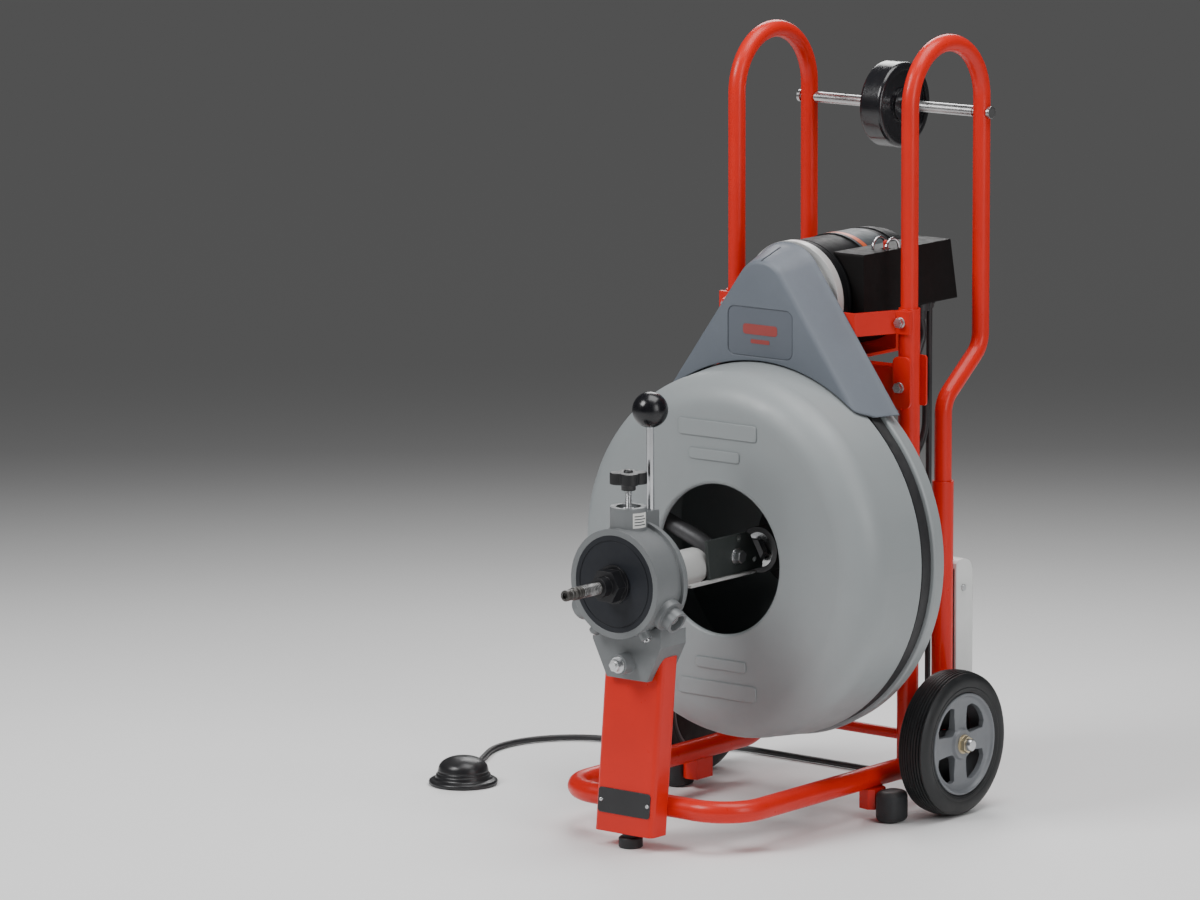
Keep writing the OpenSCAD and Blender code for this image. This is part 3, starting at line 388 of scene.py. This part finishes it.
def prism(name, outline, place, start, end, body, slot, **looks):
    """A piece extruded from an outline."""
    return add(name, *extrusion(outline, place, start, end), body, slot, **looks)


def skin(rings):
    """Corners and faces of a closed skin over rings that have equally many points."""
    count = len(rings[0])
    verts = [point for ring in rings for point in ring]
    faces = [tuple(range(count - 1, -1, -1)), tuple(range((len(rings) - 1) * count, len(rings) * count))]
    for i in range(len(rings) - 1):
        for k in range(count):
            m = (k + 1) % count
            faces.append((i * count + k, i * count + m, (i + 1) * count + m, (i + 1) * count + k))
    return verts, faces


def rounded(width, height, r, steps=6):
    """A rectangle about the origin with round corners."""
    points = []
    x, y = width / 2 - r, height / 2 - r
    for cx, cy, start in ((x, y, 0), (-x, y, 90), (-x, -y, 180), (x, -y, 270)):
        for i in range(steps + 1):
            angle = math.radians(start + 90 * i / steps)
            points.append((cx + r * math.cos(angle), cy + r * math.sin(angle)))
    return points


def ring_of(r, count, at=(0.0, 0.0), start=0.0):
    """Points on a circle about the point at."""
    angles = [start + 2 * PI * i / count for i in range(count)]
    return [(at[0] + r * math.cos(angle), at[1] + r * math.sin(angle)) for angle in angles]


def sweep(name, points, r, body, slot, steps=14, **looks):
    """A round tube along a list of points, with closed ends."""
    points = [Vector(p) for p in points]
    rings = []
    up = None
    for i, point in enumerate(points):
        ahead = (points[min(i + 1, len(points) - 1)] - points[max(i - 1, 0)]).normalized()
        if up is None:
            up = ahead.cross(Vector((0.31, 0.2, 0.93))).normalized()
        up = (up - ahead * up.dot(ahead)).normalized()
        side = ahead.cross(up)
        rings.append([point + up * u + side * v for u, v in ring_of(r, steps)])
    return add(name, *skin(rings), body, slot, smooth=50, **looks)


def cut_prism(outline, place, start, end):
    """A cutter extruded from an outline."""
    return new_object("cutter", *extrusion(outline, place, start, end))


def cut_away(piece, cutters):
    """Cuts the cutters out of the piece, and keeps the result as its plain mesh."""
    for cutter in cutters:
        difference = piece.modifiers.new("cut", "BOOLEAN")
        difference.operation = "DIFFERENCE"
        difference.solver = "EXACT"
        difference.object = cutter
        bpy.context.view_layer.update()
        result = piece.evaluated_get(bpy.context.evaluated_depsgraph_get())
        mesh = bpy.data.meshes.new_from_object(result)
        piece.modifiers.clear()
        piece.data = mesh
        bpy.data.objects.remove(cutter)
    shade(piece.data, 35)


# ---------------------------------------------------------------- wheels, with profiles in millimetres
def tyre(side, sign):
    """Crowned tread with ribs, rounded shoulders, and a side wall with a raised line."""
    tread_r, crown, half_tread = 106.9, 3.4, 21.0
    rib, groove, pitch = 2.6, 1.7, 4.4
    half = [(75.2, 21.2), (77.0, 22.6), (79.0, 22.9), (80.0, 23.9), (83.0, 24.4), (84.2, 23.9), (86.0, 24.3),
            (91.0, 24.8), (95.5, 24.4), (99.5, 23.0), (102.2, 20.8)]
    x = 19.6
    while x > 0.5:
        r = tread_r - crown * (x / half_tread) ** 2.2
        half += [(r, x), (r, x - rib), (r - groove, x - rib - 0.4), (r - groove, x - pitch + 0.4)]
        x -= pitch
    section = half + [(r, -x) for r, x in reversed(half)] + [(75.0, -21.2)]
    piece = lathe(side + "_tyre_ribbed", [(r / 1000, sign * x / 1000) for r, x in section], "x", (0, 0, 0),
                  side + "_wheel", "tyre", steps=128, smooth=30, stands=(side + "_tyre",))
    # the tyre's own origin is the wheel's centre, because its dust follows its height above the axle
    piece.matrix_world = Matrix.Translation((sign * WHEEL_X, *AXLE))
    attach(piece, side + "_wheel")


def hub_window(turn):
    """One window in the web, widest at the rim, turned by turn degrees."""
    flank = [(25.5, 12.0), (32, 19.5), (44, 25.0), (56, 28.5)]
    rim = [(63.5 - 0.0045 * a * a, a) for a in (-27.0 + 54.0 * i / 8 for i in range(1, 8))]
    corners = [(r, -a) for r, a in flank] + rim + list(reversed(flank)) + [(24.2, 4.0), (24.2, -4.0)]
    angles = [(r / 1000, math.radians(turn + a)) for r, a in corners]
    return [(r * math.cos(a), r * math.sin(a)) for r, a in angles]


def hub(side, sign):
    """Hub with a raised lip, a dished web with four windows, a boss, a near-black disc behind the windows as
    painted shade, and a bearing.
    """
    centre = (sign * WHEEL_X, *AXLE)
    section = [(74.9, 21.0), (74.9, 23.2), (73.6, 24.2), (71.8, 24.2), (70.6, 23.0), (69.6, 20.6),
               (67.0, 18.2), (60.0, 16.8), (45.0, 15.6), (30.0, 16.0), (23.4, 17.0), (22.2, 18.4),
               (21.8, 20.6), (20.8, 21.6), (14.2, 21.6), (13.4, 20.6), (13.2, 19.4), (8.1, 19.4),
               (8.1, -19.0), (16.0, -19.6), (17.0, -8.0), (26.0, 4.0), (60.0, 9.0), (66.0, 8.0),
               (69.0, 2.0), (70.5, -20.0), (74.9, -21.0)]
    # painted shade: a near-black disc closes the hub behind its windows
    shade_disc = [(69.0, -19.5), (69.0, -17.0), (17.2, -15.0), (17.2, -17.8)]
    bearing = [(13.0, 19.2), (13.0, 20.6), (11.6, 21.2), (11.2, 20.4), (9.3, 20.4), (8.9, 21.1), (8.2, 21.1),
               (8.2, 19.2)]

    def in_wheel(u, v, t):
        return (centre[0] + sign * t, centre[1] + u, centre[2] + v)

    def turned(name, part, slot, **looks):
        profile = [(r / 1000, sign * x / 1000) for r, x in part]
        return lathe(side + name, profile, "x", centre, side + "_wheel", slot, **looks)

    dished = turned("_hub_dished", section, "hub_grey", steps=128, smooth=30, stands=(side + "_hub",))
    cutters = []
    for i in range(4):
        cutters.append(cut_prism(hub_window(45 + 90 * i), in_wheel, -0.022, 0.03))
    cut_away(dished, cutters)
    soften(dished, 0.0009, 2, 50)
    # the disc behind the windows is near black, painted shade
    turned("_hub_shade_disc", shade_disc, "hub_grey", steps=64, material=LOOKS["hub_dark"])
    turned("_bearing", bearing, "bearing_metal", steps=48)


def axle_end(side, sign):
    """Bright cap over the end of the painted axle."""
    cup = [(0.0, 0.0), (8.1, 0.0), (8.1, -2.8), (8.9, -2.8), (8.9, 2.6), (7.6, 4.2), (0.0, 4.5)]
    profile = [(r / 1000, sign * x / 1000) for r, x in cup]
    lathe(side + "_axle_end", profile, "x", (sign * AXLE_END, *AXLE), "frame", "zinc", steps=40)


for side, sign in SIDES:
    tyre(side, sign)
    hub(side, sign)
    axle_end(side, sign)


# ---------------------------------------------------------------- belt guard
# the middle of the guard's top arc, a little above the motor's shaft, and the lean of its flanks
GUARD_ARC_Z = round(MOTOR_Z + 0.018, 5)
GUARD_SLOPE = math.radians(35.8)
GUARD_FOOT_Z = lowest("belt_guard", Z)
LABEL_Z = 0.707


def in_depth(u, v, t):
    """Places an outline in a plane that faces the front, at depth t."""
    return (u, t, v)


def on_label(u, v, t):
    """Places an outline about the middle of the guard's label."""
    return (u, t, LABEL_Z + v)


def guard_outline(y, r):
    """The guard at depth y: an arc of radius r on top, straight flanks, and an arc that clears the drum."""
    clear = 0.2776 + 0.0066 * min(max((y - 0.305) / 0.045, 0.0), 1.0)
    arc_z = GUARD_ARC_Z - AXIS_Z
    across, up = math.cos(GUARD_SLOPE), math.sin(GUARD_SLOPE)
    # the flank leaves the top arc here, and runs down until it meets the clearing arc
    x0, z0 = across * r, arc_z + up * r
    towards = x0 * up - z0 * across
    root = math.sqrt(max(towards ** 2 - x0 ** 2 - z0 ** 2 + clear ** 2, 0))
    run = -towards - root
    if run < 0:
        run = -towards + root
    x1, z1 = x0 + up * run, z0 - across * run
    flank = [(x1 + (x0 - x1) * i / 9, z1 + (z0 - z1) * i / 9) for i in range(9)]
    arc = []
    for i in range(25):
        angle = GUARD_SLOPE + (PI - 2 * GUARD_SLOPE) * i / 24
        arc.append((r * math.cos(angle), arc_z + r * math.sin(angle)))
    start, end = math.atan2(z1, -x1), math.atan2(z1, x1)
    low = [start + (end - start) * i / 32 for i in range(1, 32)]
    outline = flank + arc + [(-x, z) for x, z in reversed(flank)]
    outline += [(clear * math.cos(angle), clear * math.sin(angle)) for angle in low]
    return [(x, y, z + AXIS_Z) for x, z in outline]


def guard():
    """Hollow moulded shell with a recessed label panel, a groove at the top and the shaft's hole."""
    face_y, step_y, back_y = 0.3030, 0.311, 0.3697
    front = [(face_y, 0.0405), (0.3034, 0.0428), (0.3050, 0.0450), (0.3078, 0.0465), (step_y, 0.0478)]
    flare = [(step_y + 0.0555 * i / 6, 0.0478 + 0.0175 * i / 6) for i in range(1, 7)]
    back = [(0.3682, 0.0668), (back_y, 0.0660)]
    shell = add("belt_guard_shell", *skin([guard_outline(y, r) for y, r in front + flare + back]), "frame",
                "guard_plastic", stands=("belt_guard",), smooth=38)

    inside = [(0.3060, 0.0400), (step_y, 0.0448)]
    inside += [(step_y + 0.0555 * i / 3, 0.0448 + 0.0168 * i / 3) for i in range(1, 4)]
    verts, faces = skin([guard_outline(y, r) for y, r in inside])
    # the hollow's lower edge is dropped, so that it is open towards the drum
    verts = [(x, y, z - (0.02 if math.hypot(x, z - AXIS_Z) < 0.2845 else 0)) for x, y, z in verts]
    hollow = new_object("cutter", verts, faces)
    panel = cut_prism(rounded(0.118, 0.072, 0.012, 8), on_label, 0.296, 0.3044)
    groove = cut_prism([(-0.0014, 0.8065), (0.0014, 0.8065), (0.0014, 0.84), (-0.0014, 0.84)], in_depth,
                       0.306, 0.352)
    shaft = cut_prism(ring_of(0.03, 40, (0.0, MOTOR_Z)), in_depth, 0.36, 0.375)
    foot = cut_prism([(-0.4, 0.4), (0.4, 0.4), (0.4, GUARD_FOOT_Z), (-0.4, GUARD_FOOT_Z)], in_depth, 0.29,
                     0.39)
    cut_away(shell, [hollow, panel, groove, shaft, foot])

    prism("guard_label_plate", rounded(0.1165, 0.0705, 0.0112, 8), on_label, 0.3036, 0.3046, "frame",
          "guard_plastic", material=LOOKS["label_panel"], bevel=0.0004, bevel_steps=2)
    for i, (width, height, rise) in enumerate(((0.062, 0.015, 0.004), (0.034, 0.006, -0.0135))):
        prism("guard_label_bar_%d" % i, rounded(width, height, height * 0.3, 4),
              lambda u, v, t: (u, t, LABEL_Z + rise + v), 0.3031, 0.3040, "frame", "guard_plastic",
              material=LOOKS["label_red"])


guard()


# ---------------------------------------------------------------- hose, cord, pedal
def trail(moves, heading=0.0, step=6.0):
    """A laid path as (u, v) points in metres. Each move is a straight length, a turn in degrees and the
    turn's radius, with lengths in millimetres."""
    u, v = 0.0, 0.0
    path = [(u, v)]
    for length, turn, radius in moves:
        count = max(1, int(length / 25))
        for i in range(1, count + 1):
            gone = length * i / count
            path.append((u + gone * math.cos(heading), v + gone * math.sin(heading)))
        u, v = path[-1]
        if turn:
            way = math.copysign(1, turn)
            cu, cv = u - way * radius * math.sin(heading), v + way * radius * math.cos(heading)
            count = max(2, int(abs(turn) / step) + 1)
            for i in range(1, count + 1):
                angle = heading + math.radians(turn) * i / count
                path.append((cu + way * radius * math.sin(angle), cv - way * radius * math.cos(angle)))
            heading += math.radians(turn)
            u, v = path[-1]
    return [(a / 1000, b / 1000) for a, b in path]


def air_hose():
    """Hose from the pedal over the floor, then straight up to the switch box, with its gland."""
    start = Vector((0.024, HOSE_Y, 0.0053))
    floor = trail([(262, 20, 120), (212, 98, 130), (150, 0, 0)], heading=PI)
    rise = trail([(0.001, 90, 60), (657.7, 0, 0)])
    points = [start + Vector((u, v, 0)) for u, v in reversed(floor)]
    points += [start + Vector((u, 0, v)) for u, v in rise[1:]]
    sweep("air_hose_run", points, 0.0045, "frame", "cord_rubber", steps=16, stands=("air_hose",))
    lathe("hose_gland", [(0.0046, -0.012), (0.0066, -0.012), (0.0072, -0.006), (0.0085, -0.0055),
                         (0.0085, -0.0001), (0.0046, -0.0001)], "z", (points[-1].x, HOSE_Y, SWITCH_BOTTOM),
          "frame", "cord_rubber", steps=32)


def power_cord():
    """Cord that hangs from the switch box, with its gland, and a moulded plug with blades and a pin."""
    x, y = CORD_AT
    path = trail([(16, 18, 30), (8, -45, 25), (22, 50, 30), (40, -24, 60), (14, -41, 60), (22, 42, 60),
                  (190, 0, 0)])
    points = [(x, y + v, 0.7239 - u) for u, v in path]
    sweep("power_cord_run", points, 0.0052, "frame", "cord_rubber", steps=16, stands=("power_cord",))
    lathe("cord_gland", [(0.0053, -0.024), (0.0075, -0.024), (0.0082, -0.012), (0.0112, -0.0115),
                         (0.0115, -0.001), (0.0105, -0.0001), (0.0053, -0.0001)], "z", (x, y, SWITCH_BOTTOM),
          "frame", "cord_rubber", steps=32)
    end = points[-1]
    lathe("plug_neck", [(0.0053, 0.0), (0.0066, 0.0), (0.0072, -0.004), (0.0066, -0.006), (0.0076, -0.008),
                        (0.0070, -0.011), (0.0086, -0.014), (0.0090, -0.020), (0.0053, -0.020)], "z",
          (end[0], end[1], end[2] + 0.008), "frame", "cord_rubber", steps=32)
    prism("plug_body", rounded(0.024, 0.030, 0.007, 6), lambda u, v, t: (end[0] + u, end[1] + v, end[2] - t),
          0.004, 0.048, "frame", "cord_rubber", bevel=0.002)
    for i, offset in enumerate((-0.0065, 0.0065)):
        prism("plug_blade_%d" % i, rounded(0.0060, 0.0016, 0.0005, 3),
              lambda u, v, t: (end[0] + u, end[1] + offset + v, end[2] - t), 0.048, 0.066, "frame", "zinc",
              bevel=0.0003)
    lathe("plug_pin", [(0.0, -0.047), (0.0022, -0.047), (0.0022, -0.065), (0.0012, -0.067), (0.0, -0.067)],
          "z", (end[0] - 0.008, end[1], end[2]), "frame", "zinc", steps=20)


def pedal():
    """Foot pedal: a rubber brim on the floor, the bulb that is pressed into it and the hose's boot."""
    lathe("pedal_brim", [(0.0, 0.0), (0.0492, 0.0), (0.0512, 0.0012), (0.0518, 0.0036), (0.0510, 0.0060),
                         (0.0490, 0.0074), (0.0465, 0.0080), (0.0440, 0.0082), (0.0420, 0.0092),
                         (0.0412, 0.0120), (0.0408, 0.0150), (0.0396, 0.0158), (0.0391, 0.0140),
                         (0.0391, 0.0032), (0.0, 0.0030)], "z", PEDAL, "frame", "pedal_rubber",
          stands=("pedal_base",), smooth=50)
    wall, floor_z = 0.003, 0.0116
    outside = [(0.0388, 0.0114), (0.0390, 0.0150), (0.0388, 0.0180), (0.0376, 0.0196), (0.0380, 0.0212),
               (0.0374, 0.0228)]
    for i in range(1, 14):
        angle = math.radians(2 + 88 * i / 14)
        outside.append((0.0372 * math.cos(angle) ** 0.9, 0.0228 + 0.0190 * math.sin(angle)))
    outside.append((0.0, 0.0418))
    inside = [(max(r - wall, 0.0), max(z - wall, floor_z)) for r, z in reversed(outside)]
    lathe("pedal_bulb", outside + inside, "z", PEDAL, "pedal", "pedal_rubber", stands=("pedal_dome",),
          smooth=50)
    angle = math.radians(118)
    away = Vector((math.cos(angle), math.sin(angle), 0))
    start = Vector(PEDAL) + away * 0.041 + Vector((0, 0, 0.0056))
    sweep("pedal_hose_boot", [start + away * 0.024 * share for share in (0, 0.3, 0.7, 1.0)], 0.0056, "frame",
          "pedal_rubber", steps=20)


air_hose()
power_cord()
pedal()


# ---------------------------------------------------------------- small parts
def drum_marks():
    """Plain raised panels moulded on the drum's face, two above the opening and two below."""
    above = [(0.0, 0.190, 0.142, 0.024), (-0.006, 0.152, 0.092, 0.016)]
    below = [(-x, -0.002 - z, width, height) for x, z, width, height in above]
    for i, (x, z, width, height) in enumerate(above + below):
        prism("drum_raised_bar_%d" % i, rounded(width, height, 0.005, 5),
              lambda u, v, t: (x + u, t, AXIS_Z + z + v), 0.2009, 0.2028, "drum", "drum_plastic",
              bevel=0.0011)


def wrapped(name, span, angles, radii, steps, place, slot, material):
    """A thin label bent round a cylinder: span lies along the cylinder, and angles are in degrees."""
    arc = [math.radians(angles[0] + (angles[1] - angles[0]) * i / steps) for i in range(steps + 1)]
    inner, outer = radii
    outline = [(outer * math.sin(a), outer * math.cos(a)) for a in arc]
    outline += [(inner * math.sin(a), inner * math.cos(a)) for a in reversed(arc)]
    prism(name, outline, place, *span, "frame", slot, material=material, smooth=30)


def motor_label():
    """Slate label with an orange stripe, wrapped over the top of the motor."""
    def on_motor(u, v, t):
        return (u, t, MOTOR_Z + v)

    angles = (-30, 42)
    wrapped("motor_label", (0.480, 0.545), angles, (0.0843, 0.0850), 16, on_motor, "motor_paint",
            LOOKS["label_slate"])
    wrapped("motor_label_stripe", (0.486, 0.496), angles, (0.0849, 0.0852), 16, on_motor, "motor_paint",
            LOOKS["label_orange"])


def boss_sticker():
    """White sticker with grey lines on the side of the top boss."""
    def on_boss(u, v, t):
        return (u, HEAD_Y - v, t)

    wrapped("boss_sticker", (0.4680, 0.4895), (52, 104), (0.0262, 0.0268), 10, on_boss, "casting",
            LOOKS["label_white"])
    for i in range(4):
        low = 0.4716 + i * 0.0042
        wrapped("boss_sticker_line_%d" % i, (low, low + 0.0014), (57, 99 - 7 * (i % 2)), (0.0267, 0.02695),
                10, on_boss, "casting", LOOKS["label_slate"])


def cable_end():
    """Close-wound lead and its crimped coupling."""
    core, wire, pitch = 0.00845, 0.00905, 0.0030
    tip_y, tail_y = -0.1130, 0.158
    profile = [(0.0, tip_y)]
    y = tip_y
    while y < 0.030:
        profile += [(core, y), (wire, y + 0.0009), (wire, y + 0.0020), (core, y + 0.0029)]
        y += pitch
    profile += [(0.0080, y), (0.0080, tail_y), (0.0, tail_y)]
    lathe("lead_cable_wound", profile, "y", (0, 0, AXIS_Z), "cable", "cable_steel", steps=48,
          stands=("lead_cable",), smooth=60)
    turned = [(0.0, -0.1420), (0.0042, -0.1420), (0.0048, -0.1470), (0.0074, -0.1470), (0.0080, -0.1462),
              (0.0080, -0.1405), (0.0071, -0.1396), (0.0071, -0.1366), (0.0080, -0.1358), (0.0080, -0.1310),
              (0.0088, -0.1300), (0.0093, -0.1280), (0.0093, -0.1235), (0.0087, -0.1226), (0.0093, -0.1217),
              (0.0093, -0.1180), (0.0087, -0.1171), (0.0092, -0.1162), (0.0090, -0.1126), (0.0, -0.1126)]
    lathe("coupling_turned", turned, "y", (0, 0, AXIS_Z), "cable", "coupling_steel", steps=64,
          stands=("cable_coupling",), smooth=35)


def guide():
    """Pale turned barrel with a rounded shoulder, and the tail that lays the cable in the drum, darkened as
    painted shade deep in the drum.
    """
    bore, neck, shoulder = 0.0093, 0.0129, 0.0120
    profile = [(bore, 0.0166), (0.0192, 0.0166), (0.0199, 0.0174), (0.0199, 0.0440), (0.0252, 0.0440),
               (0.0259, 0.0450), (0.0259, 0.1420)]
    for i in range(1, 9):
        angle = math.radians(90 * i / 8)
        profile.append((0.0139 + shoulder * math.cos(angle), 0.1460 + shoulder * math.sin(angle)))
    profile += [(neck, 0.1600), (neck, 0.1660), (bore, 0.1660)]
    lathe("guide_barrel", profile, "y", (0, 0, AXIS_Z), "guide", "guide_metal", stands=("guide_tube",),
          smooth=35)

    # the tail bends in a plane that is turned about the cable's axis
    turn, bend_r, bend_y = math.radians(200), 0.060, 0.168
    path = [(0.0, 0.1655), (0.0, bend_y)]
    for i in range(1, 13):
        angle = math.radians(90 * i / 12)
        path.append((bend_r * (1 - math.cos(angle)), bend_y + bend_r * math.sin(angle)))
    path += [(0.090, bend_y + bend_r), (0.137, bend_y + bend_r)]
    points = [(out * math.cos(turn), y, AXIS_Z - out * math.sin(turn)) for out, y in path]
    # painted shade: the tail takes the darker spindle finish instead of its slot's pale metal
    sweep("guide_tail", points, 0.0125, "guide", "guide_metal", steps=24, material=LOOKS["spindle_dark"])


def knob():
    """Four-lobed knob with soft edges on a bright threaded screw."""
    base_z = highest("star_knob", Z) - 0.021
    outline = []
    for i in range(96):
        angle = 2 * PI * i / 96
        lobe = 0.5 + 0.5 * math.cos(4 * (angle - PI / 4))
        r = 0.0185 + 0.0083 * lobe ** 0.6
        outline.append((r * math.cos(angle), r * math.sin(angle)))
    prism("star_knob_lobes", outline, lambda u, v, t: (u, HEAD_Y + v, t), base_z, base_z + 0.017, "knob",
          "knob_black", stands=("star_knob",), bevel=0.0022)
    at = (0, HEAD_Y, base_z)
    lathe("star_knob_neck", [(0.0, -0.009), (0.0098, -0.009), (0.0104, -0.0080), (0.0104, 0.001),
                             (0.0, 0.001)], "z", at, "knob", "knob_black", steps=48)
    lathe("star_knob_crown", [(0.0, 0.016), (0.0075, 0.016), (0.0066, 0.0190), (0.0050, 0.0203),
                              (0.0, 0.0208)], "z", at, "knob", "knob_black", steps=48)
    root, crest, pitch = 0.0040, 0.0048, 0.0018
    z = lowest("star_knob", Z) + 0.0002
    thread = [(0.0, z)]
    while z < base_z - 0.010:
        thread += [(root, z), (crest, z + pitch / 2), (root, z + pitch)]
        z += pitch
    thread.append((0.0, z))
    lathe("star_knob_screw", thread, "z", (0, HEAD_Y, 0.0), "knob", "zinc", steps=32, smooth=30)


def guide_bar():
    """Steel plate bolted beside the barrel, with a pale foot along its lower edge."""
    near_x, thick = 0.0261, 0.0050

    def beside(u, v, t):
        return (near_x + t, u, v)

    edge = [(0.1385, 0.4275), (0.2315, 0.4275), (0.2385, 0.4245), (0.2425, 0.4190), (0.2695, 0.3760),
            (0.2680, 0.3705), (0.1450, 0.3705)]
    plate = prism("guide_bar_plate", edge, beside, 0.0, thick, "guide", "dark_metal",
                  material=LOOKS["plate_dark"], stands=("guide_plate",))
    cut_away(plate, [cut_prism(ring_of(0.0045, 24, at), beside, -0.002, 0.008)
                     for at in ((0.212, 0.421), (0.250, 0.385))])
    foot = [(0.0965, 0.3655), (0.2455, 0.3655), (0.2495, 0.3672), (0.2495, 0.3697), (0.0965, 0.3697)]
    prism("guide_bar_foot", foot, beside, 0.0, 0.0090, "guide", "guide_metal", bevel=0.0008, bevel_steps=2)
    bolt = (near_x + thick, 0.207, 0.396)
    lathe("guide_bar_washer", [(0.0, 0.0), (0.0115, 0.0), (0.0119, 0.0005), (0.0116, 0.0016), (0.0, 0.0016)],
          "x", bolt, "guide", "zinc", steps=48)
    prism("guide_bar_bolt", ring_of(0.0098, 6, start=0.3),
          lambda u, v, t: (bolt[0] + t, bolt[1] + u, bolt[2] + v), 0.0016, 0.0115, "guide", "zinc",
          bevel=0.0008, bevel_steps=2)


def lever_ball():
    """Glossy ball with a flat where the lever screws in."""
    ball_r, socket_r = 0.0258, 0.0056
    profile = [(socket_r, -0.0252)]
    for i in range(40):
        angle = math.radians(-78 + 168 * i / 40)
        profile.append((ball_r * math.cos(angle), ball_r * math.sin(angle)))
    profile += [(0.0, ball_r), (0.0, 0.0200), (socket_r, 0.0200)]
    lathe("lever_ball", profile, "z", BALL, "lever", "ball_black", stands=("lever_knob",))


def feet():
    """Rubber feet: two blocks beside the rear lugs and a round one under the post."""
    foot_x, foot_y = 0.197, 0.362
    for side, sign in SIDES:
        prism(side + "_foot_block", rounded(0.0396, 0.0480, 0.0175, 8),
              lambda u, v, t: (sign * foot_x + u, foot_y + v, t), 0.0, 0.0455, "frame", "foot_rubber",
              bevel=0.0085, bevel_steps=5, stands=("rubber_feet",) if side == "right" else ())
    lathe("front_foot_rubber", [(0.0, 0.0), (0.0160, 0.0), (0.0174, 0.0012), (0.0174, 0.0135),
                                (0.0162, 0.0149), (0.0120, 0.0150), (0.0118, 0.0219), (0.0, 0.0219)], "z",
          (0, 0, 0), "frame", "foot_rubber", steps=64)


drum_marks()
guide_bar()
lever_ball()
feet()
motor_label()
boss_sticker()
cable_end()
guide()
knob()


# ---------------------------------------------------------------- stage, light, camera
# painted light falloff: the paper fades to the backdrop's glowing grey along AWAY, the level direction the
# camera looks in
BACKDROP = (0.0887, 0.0887, 0.0887, 1)
AWAY = (-0.6273, 0.7788, 0.0)
FADE_FROM, FADE_TO = 0.6, 4.4


def paper_material():
    """A pale paper sweep whose colour fades to a glowing grey behind the machine, as painted light falloff.
    """
    t = Tree("floor_paper")
    paper = t.mix(t.ramp(t.noise(1.2, 3.0), 0.3, 0.7), (0.90, 0.90, 0.90), (0.92, 0.92, 0.92))
    t.links.new(paper, t.bsdf.inputs["Base Color"])
    t.bsdf.inputs["Roughness"].default_value = 0.6
    t.bsdf.inputs["Specular IOR Level"].default_value = 0.2
    distance = t.nodes.new("ShaderNodeVectorMath")
    distance.operation = "DOT_PRODUCT"
    distance.inputs[1].default_value = AWAY
    t.links.new(t.coord, distance.inputs[0])
    fade = t.nodes.new("ShaderNodeValToRGB")
    fade.color_ramp.interpolation = "B_SPLINE"
    stops = fade.color_ramp.elements
    stops[1].position = 0.11
    for at in (0.28, 0.42, 0.58, 0.72, 1.0):
        stops.new(at)
    for stop, share in zip(stops, (0.0, 0.05, 0.285, 0.57, 0.82, 0.933, 1.0)):
        stop.color = (share, share, share, 1)
    t.links.new(t.ramp(distance.outputs["Value"], FADE_FROM, FADE_TO), fade.inputs[0])
    # the far paper is a plain grey glow, standing in for the dimly lit backdrop
    glow = t.nodes.new("ShaderNodeEmission")
    glow.inputs[0].default_value = BACKDROP
    both = t.nodes.new("ShaderNodeMixShader")
    t.links.new(fade.outputs[0], both.inputs[0])
    t.links.new(t.bsdf.outputs[0], both.inputs[1])
    t.links.new(glow.outputs[0], both.inputs[2])
    t.links.new(both.outputs[0], t.nodes["Material Output"].inputs[0])
    return t.material


def stage():
    """Wide floor just under the feet, and a dim even world."""
    half, floor_z = 40.0, -0.0005
    mesh = bpy.data.meshes.new("floor")
    corners = [(x * half, y * half, floor_z) for x, y in ((-1, -1), (1, -1), (1, 1), (-1, 1))]
    mesh.from_pydata(corners, [], [(0, 1, 2, 3)])
    mesh.materials.append(paper_material())
    floor = bpy.data.objects.new("floor", mesh)
    SCENE.collection.objects.link(floor)
    world = bpy.data.worlds.new("studio")
    SCENE.world = world
    world.use_nodes = True
    background = world.node_tree.nodes["Background"]
    background.inputs[0].default_value = (0.06, 0.06, 0.062, 1)
    background.inputs[1].default_value = 1.0


def soft_box(name, place, aim, size, watts):
    """A rectangular studio light that points from place to aim."""
    light = bpy.data.lights.new(name, "AREA")
    light.shape = "RECTANGLE"
    light.size, light.size_y = size
    light.energy = watts
    lamp = bpy.data.objects.new(name, light)
    lamp.location = place
    lamp.rotation_euler = (Vector(aim) - Vector(place)).to_track_quat("-Z", "Y").to_euler()
    SCENE.collection.objects.link(lamp)


def camera():
    """A long lens from the front right, a little above the machine."""
    azimuth, height, roll = math.radians(38.850), math.radians(9.8157), math.radians(-0.189)
    sensor, frame_width = 36, 1200
    back = Vector((math.sin(azimuth) * math.cos(height), -math.cos(azimuth) * math.cos(height),
                   math.sin(height)))
    level = Vector((math.cos(azimuth), math.sin(azimuth), 0))
    upright = back.cross(level)
    right = level * math.cos(roll) + upright * math.sin(roll)
    up = upright * math.cos(roll) - level * math.sin(roll)
    lens = bpy.data.cameras.new("camera")
    lens.sensor_width = sensor
    lens.lens = 6800 / frame_width * sensor
    lens.shift_y = -2 / frame_width
    lens.clip_end = 60
    place = Matrix((right, up, back)).transposed().to_4x4()
    place.translation = (5.9247, -7.4228, 2.2225)
    holder = bpy.data.objects.new("camera", lens)
    holder.matrix_world = place
    SCENE.collection.objects.link(holder)
    SCENE.camera = holder


stage()
soft_box("key", (-1.3, -2.6, 3.2), (0.0, 0.1, 0.4), (1.6, 1.6), 118)
soft_box("top", (0.6, 0.5, 3.6), (0.0, 0.2, 0.4), (2.4, 2.4), 100)
soft_box("side", (3.0, -0.4, 1.6), (0.0, 0.3, 0.5), (1.2, 2.0), 34)
soft_box("back", (-1.8, 2.8, 2.4), (0.0, 0.3, 0.7), (1.5, 1.5), 45)
camera()
